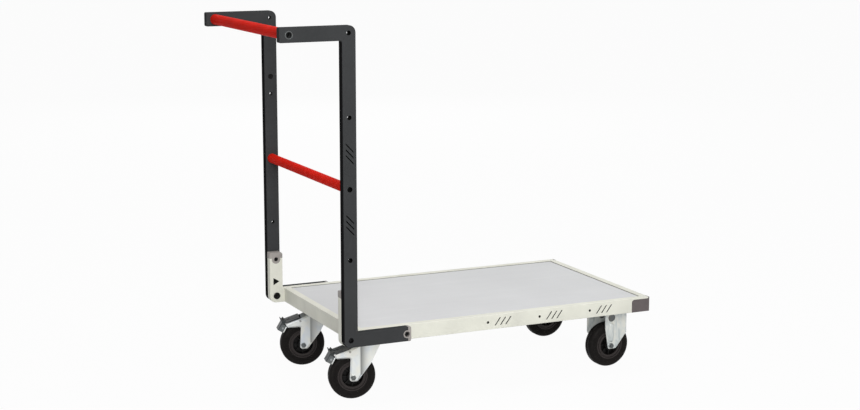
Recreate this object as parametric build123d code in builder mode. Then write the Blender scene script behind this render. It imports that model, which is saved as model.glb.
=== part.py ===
"""Folding platform cart: steel deck frame, hinged handle back, two braked swivel and two fixed casters.

Millimetres. +X points away from the handle, +Y to the left, +Z up. The origin is on the floor,
under the middle of the cart.
"""
import os
from math import asin, atan2, cos, degrees, hypot, radians, sin, sqrt

from build123d import *

# Deck
deck_length = 880.0
deck_width = 550.0
deck_top = 210.0
rail_height = 40.0
rail_width = 20.0
rail_wall = 2.0
panel_thickness = 15.0
panel_drop = 2.0
panel_gap = 1.0
panel_corner = 2.0
panel_chamfer = 0.5
member_width = 100.0
middle_member_width = 60.0
member_wall = 3.0

# Handle back and the posts it stands against
bar_width = 38.0
bar_depth = 20.0
bar_wall = 2.0
back_top = 993.0
arm_overhang = 206.0
post_setback = 5.0
post_top = 315.0
foot_reach = 144.0
fold_gap = 1.0
elbow_radius = 18.0
arm_end_radius = 4.0
edge_radius = 1.5
grip_diameter = 28.0
grip_wall = 2.0
grip_from_arm_end = 25.0
cross_bar_diameter = 26.0
cross_bar_height = 581.0
insert_length = 22.0

# Holes and slits
accessory_spacing = 182.0
outer_hole = 12.0
inner_hole = 10.0
access_hole = 14.0
slit_width = 2.0
slit_rise = 20.0
slit_run = 19.0
slit_pitch = 14.6
slit_count = 3
slit_offset = 91.0
rail_hole = 7.0
rail_hole_first = 378.0
rail_hole_pitch = 156.0
rail_hole_count = 3
rail_slit_lead = 45.0
rail_slit_run = 14.0
rail_slit_rise = 19.0
rail_slit_pitch = 16.0
arrow_radius = 12.0
arrow_height = 231.0

# Plastic end caps and their screws
foot_cap_band = 8.0
foot_screw_inset = 11.0
foot_lobe = 21.0
post_cap_band = 17.0
post_screw_inset = 20.0
post_lobe = 25.0
cap_plug = 24.0
cap_fit = 0.2
cap_corner = 8.0
corner_cap_length = 56.0
corner_cap_face = 3.0
corner_cap_margin = 4.0
screw_recess = 12.0
screw_recess_depth = 6.0
screw_head = 10.0
screw_head_height = 4.0
screw_shank = 6.0
lock_tip = 5.0
lock_play = 1.0
lock_slot_width = 10.0

# Pivot of the back
pivot_bolt = 10.0
pivot_head = 19.0
pivot_head_height = 6.0
pivot_recess = 5.0
bush_diameter = 14.0
bush_flange = 26.0
bar_screw = 8.0
bar_screw_head = 12.0
bar_screw_head_height = 5.0

# Casters
caster_height = 166.0
caster_inset = 93.0
swivel_from_rear = 70.0
fixed_from_front = 80.0
caster_rest_turn = -13.0
trail = 44.0
plate_length = 105.0
plate_width = 90.0
plate_thickness = 4.0
plate_corner = 9.0
bolt_spacing_x = 80.0
bolt_spacing_y = 70.0
caster_bolt = 8.0
caster_bolt_head = 13.0
caster_bolt_head_height = 5.3
caster_nut_height = 6.5
hexagon_turn = 30.0
fork_gap = 43.0
fork_sheet = 2.5
fork_raise = 4.5
fork_press_share = 0.85
fork_arm_length = 44.0
fork_arm_tip_height = 12.0
fork_arm_under = 18.0
fork_arm_gap = 2.0
fork_leg_behind = 6.0
fork_leg_ahead = 22.0
fork_leg_foot = 5.0
fork_front = 28.0
fork_knee_ahead = 49.0
fork_knee_height = 36.0
fork_knee_round = 25.0
fork_tip_behind = 9.0
fork_tip_ahead = 12.0
fork_tip_drop = 12.0
fork_tip_round = 7.0
fork_bend = 4.0
fork_corner = 4.5
bracket_leg_rear = 18.0
bracket_back_reach = 36.0
bracket_leg_front = 50.0
bracket_shoulder = 34.0
bracket_tip_rear = 8.0
bracket_tip_front = 16.0
bracket_tip_drop = 9.0
bracket_tip_round = 4.0
bracket_bend = 6.0
bracket_rib_x = 2.0
bracket_rib_width = 17.0
bracket_rib_raise = 4.0
bracket_rib_taper = 50.0
bracket_window = 22.0
bracket_window_height = 142.0
crown_thickness = 5.0
crown_drop = 9.0
crown_radius = 35.5
skirt_thickness = 2.5
skirt_gap = 2.0
race_radius = 26.0
race_width = 11.0
race_depth = 5.0
ball_diameter = 7.0
ball_count = 12
ball_fit = 0.15
kingpin_diameter = 12.0
kingpin_head = 24.0
kingpin_head_height = 4.0
kingpin_play = 0.3
kingpin_cut = 50.0

# Wheels
wheel_diameter = 125.0
tyre_width = 36.0
tyre_shoulder = 10.0
tyre_bore = 80.0
tyre_lip = 72.0
tyre_side_step = 2.0
tyre_side_slope = 6.0
rim_width = 30.0
rim_opening = 56.0
rim_web = 8.0
rim_draft = 2.0
hub_diameter = 30.0
hub_play = 1.0
hub_draft = 1.0
rib_count = 8
rib_thickness = 3.0
bush_outer = 21.0
axle_sleeve = 15.0
axle_bolt = 10.0
axle_head = 13.0
axle_head_height = 5.0
running_fit = 0.05

# Brake pedals
pedal_sheet = 2.5
pedal_half_width = 25.0
pedal_overhang = 2.0
pedal_lift = 7.0
pedal_pin_diameter = 6.0
pedal_pin_behind = 8.0
pedal_pin_above_tyre = 7.0
pedal_pin_end = 1.0
pedal_eye = 13.0
pedal_eye_thickness = 3.0
pedal_eye_play = 1.0
pedal_slot_length = 20.0
pedal_slot_width = 9.0
pedal_slot_margin = 7.0
pedal_lip = 10.0
pedal_lip_half_width = 18.0
pedal_tooth_depth = 5.0
pedal_tooth_count = 4
pedal_ear_length = 13.0
pedal_ear_rise = 8.5
shoe_angle = 150.0
shoe_length = 21.0
shoe_depth = 17.0
shoe_half_width = 15.0
shoe_shift = 13.0
shoe_gap = 1.0
shoe_round = 2.0

# Places worked out from the sizes above
deck_rear = -(deck_length - arm_overhang) / 2
deck_front = deck_rear + deck_length
rail_outer = deck_width / 2
rail_inner = rail_outer - rail_width
rail_bottom = deck_top - rail_height
back_inner = rail_outer + fold_gap
back_outer = back_inner + bar_depth
half_bar = bar_width / 2
pivot_x = deck_rear - post_setback - half_bar
pivot_z = deck_top - rail_height / 2
arm_end = deck_rear - arm_overhang
foot_tip = deck_rear + foot_reach
arm_middle = back_top - half_bar
grip_x = arm_end + grip_from_arm_end
corner_cap_start = deck_front - corner_cap_length
foot_screw_x = foot_tip - foot_screw_inset
post_screw_z = post_top - post_screw_inset
panel_top = deck_top - panel_drop
panel_bottom = panel_top - panel_thickness
plate_bottom = caster_height - plate_thickness
swivel_x = deck_rear + swivel_from_rear
fixed_x = deck_front - fixed_from_front
caster_y = rail_outer - caster_inset
axle_z = wheel_diameter / 2
crown_top = plate_bottom - crown_drop
crown_bottom = crown_top - crown_thickness
race_bottom = plate_bottom - race_depth
ball_z = (crown_top + race_bottom) / 2
fork_inner = fork_gap / 2
fork_outer = fork_inner + fork_sheet
fork_face = fork_outer + fork_raise
fork_press_slope = fork_press_share * min(fork_raise, fork_corner)
hub_half = fork_inner - hub_play
pedal_pin_back = trail + pedal_pin_behind
pedal_pin_height = wheel_diameter + pedal_pin_above_tyre
shoe_face = wheel_diameter / 2 + shoe_gap
shoe_back = shoe_face + shoe_depth
shoe_top = shoe_shift + shoe_length / 2
tread_end_x = shoe_back * cos(radians(shoe_angle)) + shoe_top * sin(radians(shoe_angle)) - trail
tread_end_z = shoe_back * sin(radians(shoe_angle)) - shoe_top * cos(radians(shoe_angle)) + axle_z
tread_reach = hypot(tread_end_x + pedal_pin_back, tread_end_z - pedal_pin_height)
tread_length = sqrt(tread_reach**2 - pedal_lift**2)
reach_angle = degrees(atan2(pedal_pin_height - tread_end_z, -pedal_pin_back - tread_end_x))
tread_slope = reach_angle + degrees(asin(pedal_lift / tread_reach))
bolt_places = [(x, y) for x in (swivel_x, fixed_x) for y in (-caster_y, caster_y)]
sides = {"left": 1, "right": -1}
os.makedirs("parts", exist_ok=True)


def save(builder, name):
    """Label a finished piece and write it as its own file."""
    builder.part.label = name
    export_step(builder.part, f"parts/{name}.step")


def across(sign, near, far):
    """A sketch plane at right angles to Y that an extrude of far - near fills on that side of the cart."""
    return Plane.XZ.offset(-max(sign * near, sign * far))


def back_outline(inset, tip):
    """Corner points and corner radii of arm, upright and foot, drawn inside the outer edge by inset."""
    rear = pivot_x - half_bar + inset
    front = pivot_x + half_bar - inset
    points = [
        (rear, pivot_z - half_bar + inset),
        (tip, pivot_z - half_bar + inset),
        (tip, pivot_z + half_bar - inset),
        (front, pivot_z + half_bar - inset),
        (front, back_top - inset),
        (arm_end + inset, back_top - inset),
        (arm_end + inset, back_top - bar_width + inset),
        (rear, back_top - bar_width + inset),
    ]
    bend = elbow_radius - inset
    end = arm_end_radius - inset
    return points, [bend, 0, 0, 0, bend, end, end, 0]


def rail_outline(inset, front, top):
    """Corner points and corner radii of a side rail with its rear post."""
    rear = pivot_x - half_bar + inset
    post_front = pivot_x + half_bar - inset
    points = [
        (rear, rail_bottom + inset),
        (front, rail_bottom + inset),
        (front, deck_top - inset),
        (post_front, deck_top - inset),
        (post_front, top),
        (rear, top),
    ]
    return points, [elbow_radius - inset, 0, 0, 0, 0, 0]


def outline_face(points, radii):
    """Fill a closed outline with rounded corners in the sketch that is open."""
    with BuildLine() as edge_line:
        FilletPolyline(*points, radius=radii, close=True)
    make_face(edge_line.edges())


def slits(x_start, z_start, run, rise, step_x, step_z):
    """Draw the row of slanted slits whose first one starts at x_start, z_start."""
    for i in range(slit_count):
        x = x_start + i * step_x
        z = z_start + i * step_z
        with BuildLine() as stroke:
            Line((x, z), (x + run, z + rise))
        trace(stroke.line, line_width=slit_width)


def ring_sketch(outer, inner):
    """Draw a ring around the middle of the sketch that is open."""
    Circle(outer / 2)
    Circle(inner / 2, mode=Mode.SUBTRACT)


# Side rails: folded boxes with a post at the rear, which the handle back stands against
for side, sign in sides.items():
    with BuildPart() as side_rail:
        rail_end = deck_front - corner_cap_face
        post_end = post_top - post_cap_band
        with BuildSketch(across(sign, rail_inner, rail_outer)):
            outline_face(*rail_outline(0, rail_end, post_end))
        extrude(amount=rail_width)
        rims = side_rail.faces().filter_by(Axis.Y).edges()
        fillet(rims, edge_radius)
        hollow = across(sign, rail_inner + rail_wall, rail_outer - rail_wall)
        with BuildSketch(hollow):
            outline_face(*rail_outline(rail_wall, rail_end + rail_wall, post_end + rail_wall))
        extrude(amount=rail_width - 2 * rail_wall, mode=Mode.SUBTRACT)
        # the outer wall: corner cap window, fastening holes with slits, and the open lock slot
        with BuildSketch(across(sign, rail_outer - rail_wall, rail_outer)):
            window_points = [
                (corner_cap_start, rail_bottom - edge_radius),
                (deck_front, rail_bottom - edge_radius),
                (deck_front, deck_top - corner_cap_margin),
                (corner_cap_start, deck_top - corner_cap_margin),
            ]
            outline_face(window_points, [0, 0, 0, cap_corner])
            for i in range(rail_hole_count):
                hole_x = deck_rear + rail_hole_first + i * rail_hole_pitch
                with Locations((hole_x, pivot_z)):
                    Circle(rail_hole / 2)
                first_slit = hole_x + rail_slit_lead - rail_slit_pitch - rail_slit_run / 2
                slit_foot = pivot_z - rail_slit_rise / 2
                slits(first_slit, slit_foot, rail_slit_run, rail_slit_rise, rail_slit_pitch, 0)
        extrude(amount=rail_wall, mode=Mode.SUBTRACT)
        slot_depth = rail_wall + lock_tip + lock_play
        with BuildSketch(across(sign, rail_outer - slot_depth, rail_outer)):
            with Locations((foot_screw_x, pivot_z)):
                Circle(screw_shank / 2 + lock_play)
            with Locations((foot_screw_x - lock_play, (pivot_z + rail_bottom) / 2)):
                Rectangle(lock_slot_width, pivot_z - rail_bottom)
        extrude(amount=slot_depth, mode=Mode.SUBTRACT)
        # the inner wall of the post: a direction arrow, and the notch of its cap
        with BuildSketch(across(sign, rail_inner, rail_inner + rail_wall)):
            with Locations((pivot_x - arrow_radius / 4, arrow_height)):
                RegularPolygon(arrow_radius, 3)
        extrude(amount=rail_wall, mode=Mode.SUBTRACT)
        with BuildSketch(across(sign, rail_inner, rail_outer)):
            with Locations((pivot_x, post_screw_z)):
                Circle(post_lobe / 2 + cap_fit)
            with Locations((pivot_x, pivot_z)):
                Circle(pivot_bolt / 2)
        extrude(amount=rail_width, mode=Mode.SUBTRACT)
    save(side_rail, f"{side}_side_rail")

# Front and rear rails: box sections between the side rails
for name, rail_x in (("front_rail", deck_front - rail_width), ("rear_rail", deck_rear)):
    with BuildPart() as end_rail:
        with BuildSketch(Plane.XZ.offset(-rail_inner)):
            with Locations((rail_x + rail_width / 2, deck_top - rail_height / 2)):
                RectangleRounded(rail_width, rail_height, edge_radius)
                Rectangle(rail_width - 2 * rail_wall, rail_height - 2 * rail_wall, mode=Mode.SUBTRACT)
        extrude(amount=2 * rail_inner)
    save(end_rail, name)

# Cross members: box sections under the panel that carry the casters
member_middles = {
    "rear_cross_member": (swivel_x, member_width, True),
    "middle_cross_member": ((swivel_x + fixed_x) / 2, middle_member_width, False),
    "front_cross_member": (fixed_x, member_width, True),
}
for name, (member_x, width, carries_casters) in member_middles.items():
    with BuildPart() as member:
        with BuildSketch(Plane.XZ.offset(-rail_inner)):
            with Locations((member_x, (panel_bottom + caster_height) / 2)):
                Rectangle(width, panel_bottom - caster_height)
                inner_height = panel_bottom - caster_height - 2 * member_wall
                Rectangle(width - 2 * member_wall, inner_height, mode=Mode.SUBTRACT)
        extrude(amount=2 * rail_inner)
        if carries_casters:
            with BuildSketch(Plane.XY.offset(caster_height)):
                with Locations((member_x, caster_y), (member_x, -caster_y)):
                    with GridLocations(bolt_spacing_x, bolt_spacing_y, 2, 2):
                        Circle(caster_bolt / 2)
            extrude(amount=member_wall, mode=Mode.SUBTRACT)
    save(member, name)

# Deck panel: a board let into the frame
with BuildPart() as deck_panel:
    with BuildSketch(Plane.XY.offset(panel_bottom)):
        with Locations((deck_rear + deck_length / 2, 0)):
            board_length = deck_length - 2 * rail_width - 2 * panel_gap
            RectangleRounded(board_length, 2 * (rail_inner - panel_gap), panel_corner)
    extrude(amount=panel_thickness)
    chamfer(deck_panel.faces().sort_by(Axis.Z)[-1].edges(), panel_chamfer)
save(deck_panel, "deck_panel")

# Corner caps: plugs with a side plate that fills the window of the rail
for side, sign in sides.items():
    with BuildPart() as corner_cap:
        with BuildSketch(across(sign, rail_outer - rail_wall, rail_outer)):
            plate_points = [
                (corner_cap_start + cap_fit, rail_bottom),
                (deck_front, rail_bottom),
                (deck_front, deck_top - corner_cap_margin - cap_fit),
                (corner_cap_start + cap_fit, deck_top - corner_cap_margin - cap_fit),
            ]
            outline_face(plate_points, [0, 0, 0, cap_corner])
        extrude(amount=rail_wall)
        core_width = rail_width - 2 * rail_wall - 2 * cap_fit
        core_height = rail_height - 2 * rail_wall - 2 * cap_fit
        with BuildSketch(Plane.YZ.offset(corner_cap_start)):
            with Locations((sign * (rail_inner + rail_width / 2 + cap_fit / 2), pivot_z)):
                Rectangle(core_width + cap_fit, core_height)
        extrude(amount=corner_cap_length - corner_cap_face)
        with BuildSketch(Plane.YZ.offset(deck_front - corner_cap_face)):
            with Locations((sign * (rail_inner + rail_width / 2), pivot_z)):
                RectangleRounded(rail_width, rail_height, edge_radius)
        extrude(amount=corner_cap_face)
    save(corner_cap, f"{side}_corner_cap")

# Post caps: a band on the end of the post, a round lobe for the screw and a plug inside the post
for side, sign in sides.items():
    with BuildPart() as post_cap:
        with BuildSketch(across(sign, rail_inner, rail_outer)):
            band_points = [
                (pivot_x - half_bar, post_top - post_cap_band),
                (pivot_x + half_bar, post_top - post_cap_band),
                (pivot_x + half_bar, post_top),
                (pivot_x - half_bar, post_top),
            ]
            outline_face(band_points, [0, 0, cap_corner, edge_radius])
            with Locations((pivot_x, post_screw_z)):
                Circle(post_lobe / 2)
        extrude(amount=rail_width)
        with BuildSketch(Plane.XY.offset(post_top - post_cap_band)):
            with Locations((pivot_x, sign * (rail_inner + rail_width / 2))):
                plug_width = bar_width - 2 * rail_wall - 2 * cap_fit
                Rectangle(plug_width, rail_width - 2 * rail_wall - 2 * cap_fit)
        extrude(amount=-cap_plug)
        with BuildSketch(across(sign, rail_inner, rail_inner + screw_recess_depth)):
            with Locations((pivot_x, post_screw_z)):
                Circle(screw_recess / 2)
        extrude(amount=screw_recess_depth, mode=Mode.SUBTRACT)
        with BuildSketch(across(sign, rail_inner, rail_outer)):
            with Locations((pivot_x, post_screw_z)):
                Circle(screw_shank / 2)
        extrude(amount=rail_width, mode=Mode.SUBTRACT)
    save(post_cap, f"{side}_post_cap")

# Screws of the post caps, which end inside the post
with BuildPart() as post_cap_screws:
    for sign in sides.values():
        head_end = rail_inner + screw_recess_depth
        with BuildSketch(across(sign, head_end - screw_head_height, head_end)):
            with Locations((pivot_x, post_screw_z)):
                Circle(screw_head / 2)
        extrude(amount=screw_head_height)
        with BuildSketch(across(sign, head_end, rail_outer)):
            with Locations((pivot_x, post_screw_z)):
                Circle(screw_shank / 2)
        extrude(amount=rail_outer - head_end)
save(post_cap_screws, "post_cap_screws")

# Pivot bolts: button heads inside the posts, shanks through post and upright
with BuildPart() as pivot_bolts:
    for sign in sides.values():
        with BuildSketch(across(sign, rail_inner - pivot_head_height, rail_inner)):
            with Locations((pivot_x, pivot_z)):
                Circle(pivot_head / 2)
        extrude(amount=pivot_head_height)
        with BuildSketch(across(sign, rail_inner, back_outer - pivot_recess)):
            with Locations((pivot_x, pivot_z)):
                Circle(pivot_bolt / 2)
        extrude(amount=back_outer - pivot_recess - rail_inner)
    end_faces = pivot_bolts.faces().filter_by(Axis.Y)
    head_faces = end_faces.filter_by(lambda face: abs(face.center().Y) < rail_inner - pivot_head_height / 2)
    fillet(head_faces.edges(), pivot_head_height / 2)
save(pivot_bolts, "pivot_bolts")

# Uprights: one folded box each for arm, upright and foot
for side, sign in sides.items():
    with BuildPart() as upright:
        tube_tip = foot_tip - foot_cap_band
        with BuildSketch(across(sign, back_inner, back_outer)):
            outline_face(*back_outline(0, tube_tip))
        extrude(amount=bar_depth)
        rims = upright.faces().filter_by(Axis.Y).edges()
        fillet(rims, edge_radius)
        with BuildSketch(across(sign, back_inner + bar_wall, back_outer - bar_wall)):
            outline_face(*back_outline(bar_wall, tube_tip + bar_wall))
        extrude(amount=bar_depth - 2 * bar_wall, mode=Mode.SUBTRACT)
        accessory_heights = (
            arm_middle,
            cross_bar_height + accessory_spacing,
            cross_bar_height - accessory_spacing,
        )
        with BuildSketch(across(sign, back_outer - bar_wall, back_outer)):
            for height in accessory_heights:
                with Locations((pivot_x, height)):
                    Circle(outer_hole / 2)
            with Locations((grip_x, arm_middle), (pivot_x, cross_bar_height)):
                Circle(access_hole / 2)
            for middle in (cross_bar_height + slit_offset, cross_bar_height - slit_offset):
                top_slit = middle + slit_pitch + slit_rise / 2
                slits(pivot_x - slit_run / 2, top_slit, slit_run, -slit_rise, 0, -slit_pitch)
        extrude(amount=bar_wall, mode=Mode.SUBTRACT)
        with BuildSketch(across(sign, back_inner, back_inner + bar_wall)):
            for height in accessory_heights:
                with Locations((pivot_x, height)):
                    Circle(inner_hole / 2)
            with Locations((grip_x, arm_middle), (pivot_x, cross_bar_height)):
                Circle(bar_screw / 2)
        extrude(amount=bar_wall, mode=Mode.SUBTRACT)
        with BuildSketch(across(sign, back_inner, back_outer)):
            with Locations((pivot_x, pivot_z)):
                Circle(bush_diameter / 2)
            with Locations((foot_screw_x, pivot_z)):
                Circle(foot_lobe / 2 + cap_fit)
        extrude(amount=bar_depth, mode=Mode.SUBTRACT)
    save(upright, f"{side}_upright")

# Foot caps: the same cap on the end of each foot, with a seat for the lock screw
for side, sign in sides.items():
    with BuildPart() as foot_cap:
        with BuildSketch(across(sign, back_inner, back_outer)):
            band_points = [
                (foot_tip - foot_cap_band, pivot_z - half_bar),
                (foot_tip, pivot_z - half_bar),
                (foot_tip, pivot_z + half_bar),
                (foot_tip - foot_cap_band, pivot_z + half_bar),
            ]
            outline_face(band_points, [0, foot_cap_band / 2, edge_radius, 0])
            with Locations((foot_screw_x, pivot_z)):
                Circle(foot_lobe / 2)
        extrude(amount=bar_depth)
        with BuildSketch(Plane.YZ.offset(foot_tip - foot_cap_band)):
            with Locations((sign * (back_inner + bar_depth / 2), pivot_z)):
                plug_height = bar_width - 2 * bar_wall - 2 * cap_fit
                Rectangle(bar_depth - 2 * bar_wall - 2 * cap_fit, plug_height)
        extrude(amount=-cap_plug)
        with BuildSketch(across(sign, back_outer - screw_recess_depth, back_outer)):
            with Locations((foot_screw_x, pivot_z)):
                Circle(screw_recess / 2)
        extrude(amount=screw_recess_depth, mode=Mode.SUBTRACT)
        with BuildSketch(across(sign, back_inner, back_outer)):
            with Locations((foot_screw_x, pivot_z)):
                Circle(screw_shank / 2)
        extrude(amount=bar_depth, mode=Mode.SUBTRACT)
    save(foot_cap, f"{side}_foot_cap")

# Lock screws: they hold each foot to its rail, in a slot that is open below
with BuildPart() as lock_screws:
    for sign in sides.values():
        head_start = back_outer - screw_recess_depth
        tip_end = rail_outer - rail_wall - lock_tip
        with BuildSketch(across(sign, head_start, head_start + screw_head_height)):
            with Locations((foot_screw_x, pivot_z)):
                Circle(screw_head / 2)
        extrude(amount=screw_head_height)
        with BuildSketch(across(sign, tip_end, head_start)):
            with Locations((foot_screw_x, pivot_z)):
                Circle(screw_shank / 2)
        extrude(amount=head_start - tip_end)
save(lock_screws, "lock_screws")

# Pivot bushes: flanged plastic sleeves that carry the uprights on the pivot bolts
with BuildPart() as pivot_bushes:
    for sign in sides.values():
        with BuildSketch(across(sign, back_inner, back_outer - pivot_recess)):
            with Locations((pivot_x, pivot_z)):
                ring_sketch(bush_diameter, pivot_bolt + 2 * running_fit)
        extrude(amount=bar_depth - pivot_recess)
        with BuildSketch(across(sign, rail_outer, back_inner)):
            with Locations((pivot_x, pivot_z)):
                ring_sketch(bush_flange, pivot_bolt + 2 * running_fit)
        extrude(amount=fold_gap)
save(pivot_bushes, "pivot_bushes")

# Handle bar and cross bar: tubes between the uprights, on threaded inserts
bars = {
    "handle_bar": (grip_x, arm_middle, grip_diameter),
    "cross_bar": (pivot_x, cross_bar_height, cross_bar_diameter),
}
for name, (bar_x, bar_z, diameter) in bars.items():
    with BuildPart() as bar:
        with BuildSketch(Plane.XZ.offset(-back_inner)):
            with Locations((bar_x, bar_z)):
                ring_sketch(diameter, diameter - 2 * grip_wall)
        extrude(amount=2 * back_inner)
    save(bar, name)

with BuildPart() as bar_inserts:
    for bar_x, bar_z, diameter in bars.values():
        for sign in sides.values():
            with BuildSketch(across(sign, back_inner - insert_length, back_inner)):
                with Locations((bar_x, bar_z)):
                    ring_sketch(diameter - 2 * grip_wall, bar_screw)
            extrude(amount=insert_length)
save(bar_inserts, "bar_inserts")

with BuildPart() as bar_screws:
    for bar_x, bar_z, diameter in bars.values():
        for sign in sides.values():
            head_start = back_inner + bar_wall
            with BuildSketch(across(sign, head_start, head_start + bar_screw_head_height)):
                with Locations((bar_x, bar_z)):
                    Circle(bar_screw_head / 2)
            extrude(amount=bar_screw_head_height)
            with BuildSketch(across(sign, back_inner - insert_length, head_start)):
                with Locations((bar_x, bar_z)):
                    Circle(bar_screw / 2)
            extrude(amount=insert_length + bar_wall)
save(bar_screws, "bar_screws")

# Bolts of the casters: head under the plate, nut inside the cross member
with BuildPart() as caster_bolts:
    for bolt_x, bolt_y in bolt_places:
        grid = GridLocations(bolt_spacing_x, bolt_spacing_y, 2, 2)
        for spot in grid.locations:
            x = bolt_x + spot.position.X
            y = bolt_y + spot.position.Y
            with BuildSketch(Plane.XY.offset(plate_bottom - caster_bolt_head_height)):
                with Locations((x, y)):
                    RegularPolygon(caster_bolt_head / 2, 6, major_radius=False, rotation=hexagon_turn)
            extrude(amount=caster_bolt_head_height)
            with BuildSketch(Plane.XY.offset(plate_bottom)):
                with Locations((x, y)):
                    Circle(caster_bolt / 2)
            extrude(amount=plate_thickness + member_wall)
            with BuildSketch(Plane.XY.offset(caster_height + member_wall)):
                with Locations((x, y)):
                    RegularPolygon(caster_bolt_head / 2, 6, major_radius=False, rotation=hexagon_turn)
            extrude(amount=caster_nut_height)
save(caster_bolts, "caster_bolts")


def caster_plane(x, y, turn):
    """Side view of a caster that is turned about its upright axis: forward is local X, up is local Y."""
    forward = (cos(radians(turn)), sin(radians(turn)), 0)
    outward = (sin(radians(turn)), -cos(radians(turn)), 0)
    return Plane(origin=(x, y, 0), x_dir=forward, z_dir=outward)


def shifted(plane, x, y):
    """The same plane with its origin moved to a point of its own sketch."""
    return Plane(origin=plane.from_local_coords((x, y, 0)), x_dir=plane.x_dir, z_dir=plane.z_dir)


def turned(plane, angle):
    """The same plane with its sketch turned about its origin."""
    c, s = cos(radians(angle)), sin(radians(angle))
    return Plane(origin=plane.origin, x_dir=plane.x_dir * c + plane.y_dir * s, z_dir=plane.z_dir)


def rim_plane(wheel):
    """The plane through a wheel's axle and its top: along the axle is local X, outwards is local Y."""
    return Plane(origin=wheel.origin, x_dir=-wheel.z_dir, z_dir=wheel.x_dir)


def on_tread(back, up):
    """A point of a swivel caster's side view, measured from the pedal pin back along the tread and up."""
    slope = radians(tread_slope)
    x = -pedal_pin_back - back * cos(slope) - up * sin(slope)
    return x, pedal_pin_height - back * sin(slope) + up * cos(slope)


swivel_planes = {}
fixed_planes = {}
wheel_planes = {}
for side, sign in sides.items():
    swivel_planes[side] = caster_plane(swivel_x, sign * caster_y, caster_rest_turn)
    fixed_planes[side] = caster_plane(fixed_x, sign * caster_y, 0)
    wheel_planes[f"{side}_rear"] = shifted(swivel_planes[side], -trail, axle_z)
    wheel_planes[f"{side}_front"] = shifted(fixed_planes[side], 0, axle_z)

# Top plates of the swivel casters, each with the upper ball race
for side, sign in sides.items():
    with BuildPart() as top_plate:
        with BuildSketch(Plane.XY.offset(plate_bottom)):
            with Locations((swivel_x, sign * caster_y)):
                RectangleRounded(plate_length, plate_width, plate_corner)
                with GridLocations(bolt_spacing_x, bolt_spacing_y, 2, 2):
                    Circle(caster_bolt / 2, mode=Mode.SUBTRACT)
        extrude(amount=plate_thickness)
        with BuildSketch(Plane.XY.offset(race_bottom)):
            with Locations((swivel_x, sign * caster_y)):
                Circle(race_radius + race_width / 2)
        extrude(amount=race_depth)
        with Locations((swivel_x, sign * caster_y, ball_z)):
            Torus(race_radius, ball_diameter / 2 + ball_fit, mode=Mode.SUBTRACT)
            Cylinder(race_radius - race_width / 2, 2 * (plate_bottom - ball_z), mode=Mode.SUBTRACT)
            Cylinder(kingpin_diameter / 2, kingpin_cut, mode=Mode.SUBTRACT)
    save(top_plate, f"{side}_top_plate")

# Balls that the swivel casters turn on
for side, sign in sides.items():
    with BuildPart() as swivel_balls:
        with Locations((swivel_x, sign * caster_y, ball_z)):
            with PolarLocations(race_radius, ball_count):
                Sphere(ball_diameter / 2)
    save(swivel_balls, f"{side}_swivel_balls")

# Kingpins: rivets that hold each fork to its top plate
for side, sign in sides.items():
    with BuildPart() as kingpin:
        pin_bottom = crown_bottom - kingpin_play
        with BuildSketch(Plane.XY.offset(pin_bottom)):
            with Locations((swivel_x, sign * caster_y)):
                Circle(kingpin_diameter / 2)
        extrude(amount=caster_height - pin_bottom)
        with BuildSketch(Plane.XY.offset(pin_bottom)):
            with Locations((swivel_x, sign * caster_y)):
                Circle(kingpin_head / 2)
        extrude(amount=-kingpin_head_height)
        fillet(kingpin.edges().sort_by(Axis.Z)[0], kingpin_head_height / 2)
    save(kingpin, f"{side}_kingpin")

# Forks of the swivel casters: two pressed cheeks with a raised leg and brake arm, under a round crown
arm_height = pedal_lift - fork_arm_gap
leg_outline = [
    on_tread(fork_arm_length, arm_height),
    on_tread(0, arm_height),
    (fork_leg_ahead - trail, crown_top - fork_sheet),
]
leg_lower = [
    (fork_leg_ahead - trail, axle_z + fork_leg_foot),
    (fork_tip_ahead - trail, axle_z - fork_tip_drop),
    (-trail - fork_tip_behind, axle_z - fork_tip_drop),
    (-trail - fork_leg_behind, pedal_pin_height - fork_arm_under),
    on_tread(fork_arm_length - fork_arm_tip_height / 2, arm_height - fork_arm_tip_height),
]
cheek_front = [
    (fork_front, crown_top - fork_sheet),
    (fork_front, crown_bottom - fork_sheet),
    (fork_knee_ahead - trail, axle_z + fork_knee_height),
]
tip_radii = [fork_tip_round, fork_tip_round, fork_bend, fork_corner]
cheek_radii = [fork_corner, fork_bend, fork_bend, fork_corner, fork_corner, fork_knee_round] + tip_radii
leg_radii = [fork_corner, fork_bend, fork_corner, fork_corner] + tip_radii
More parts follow.
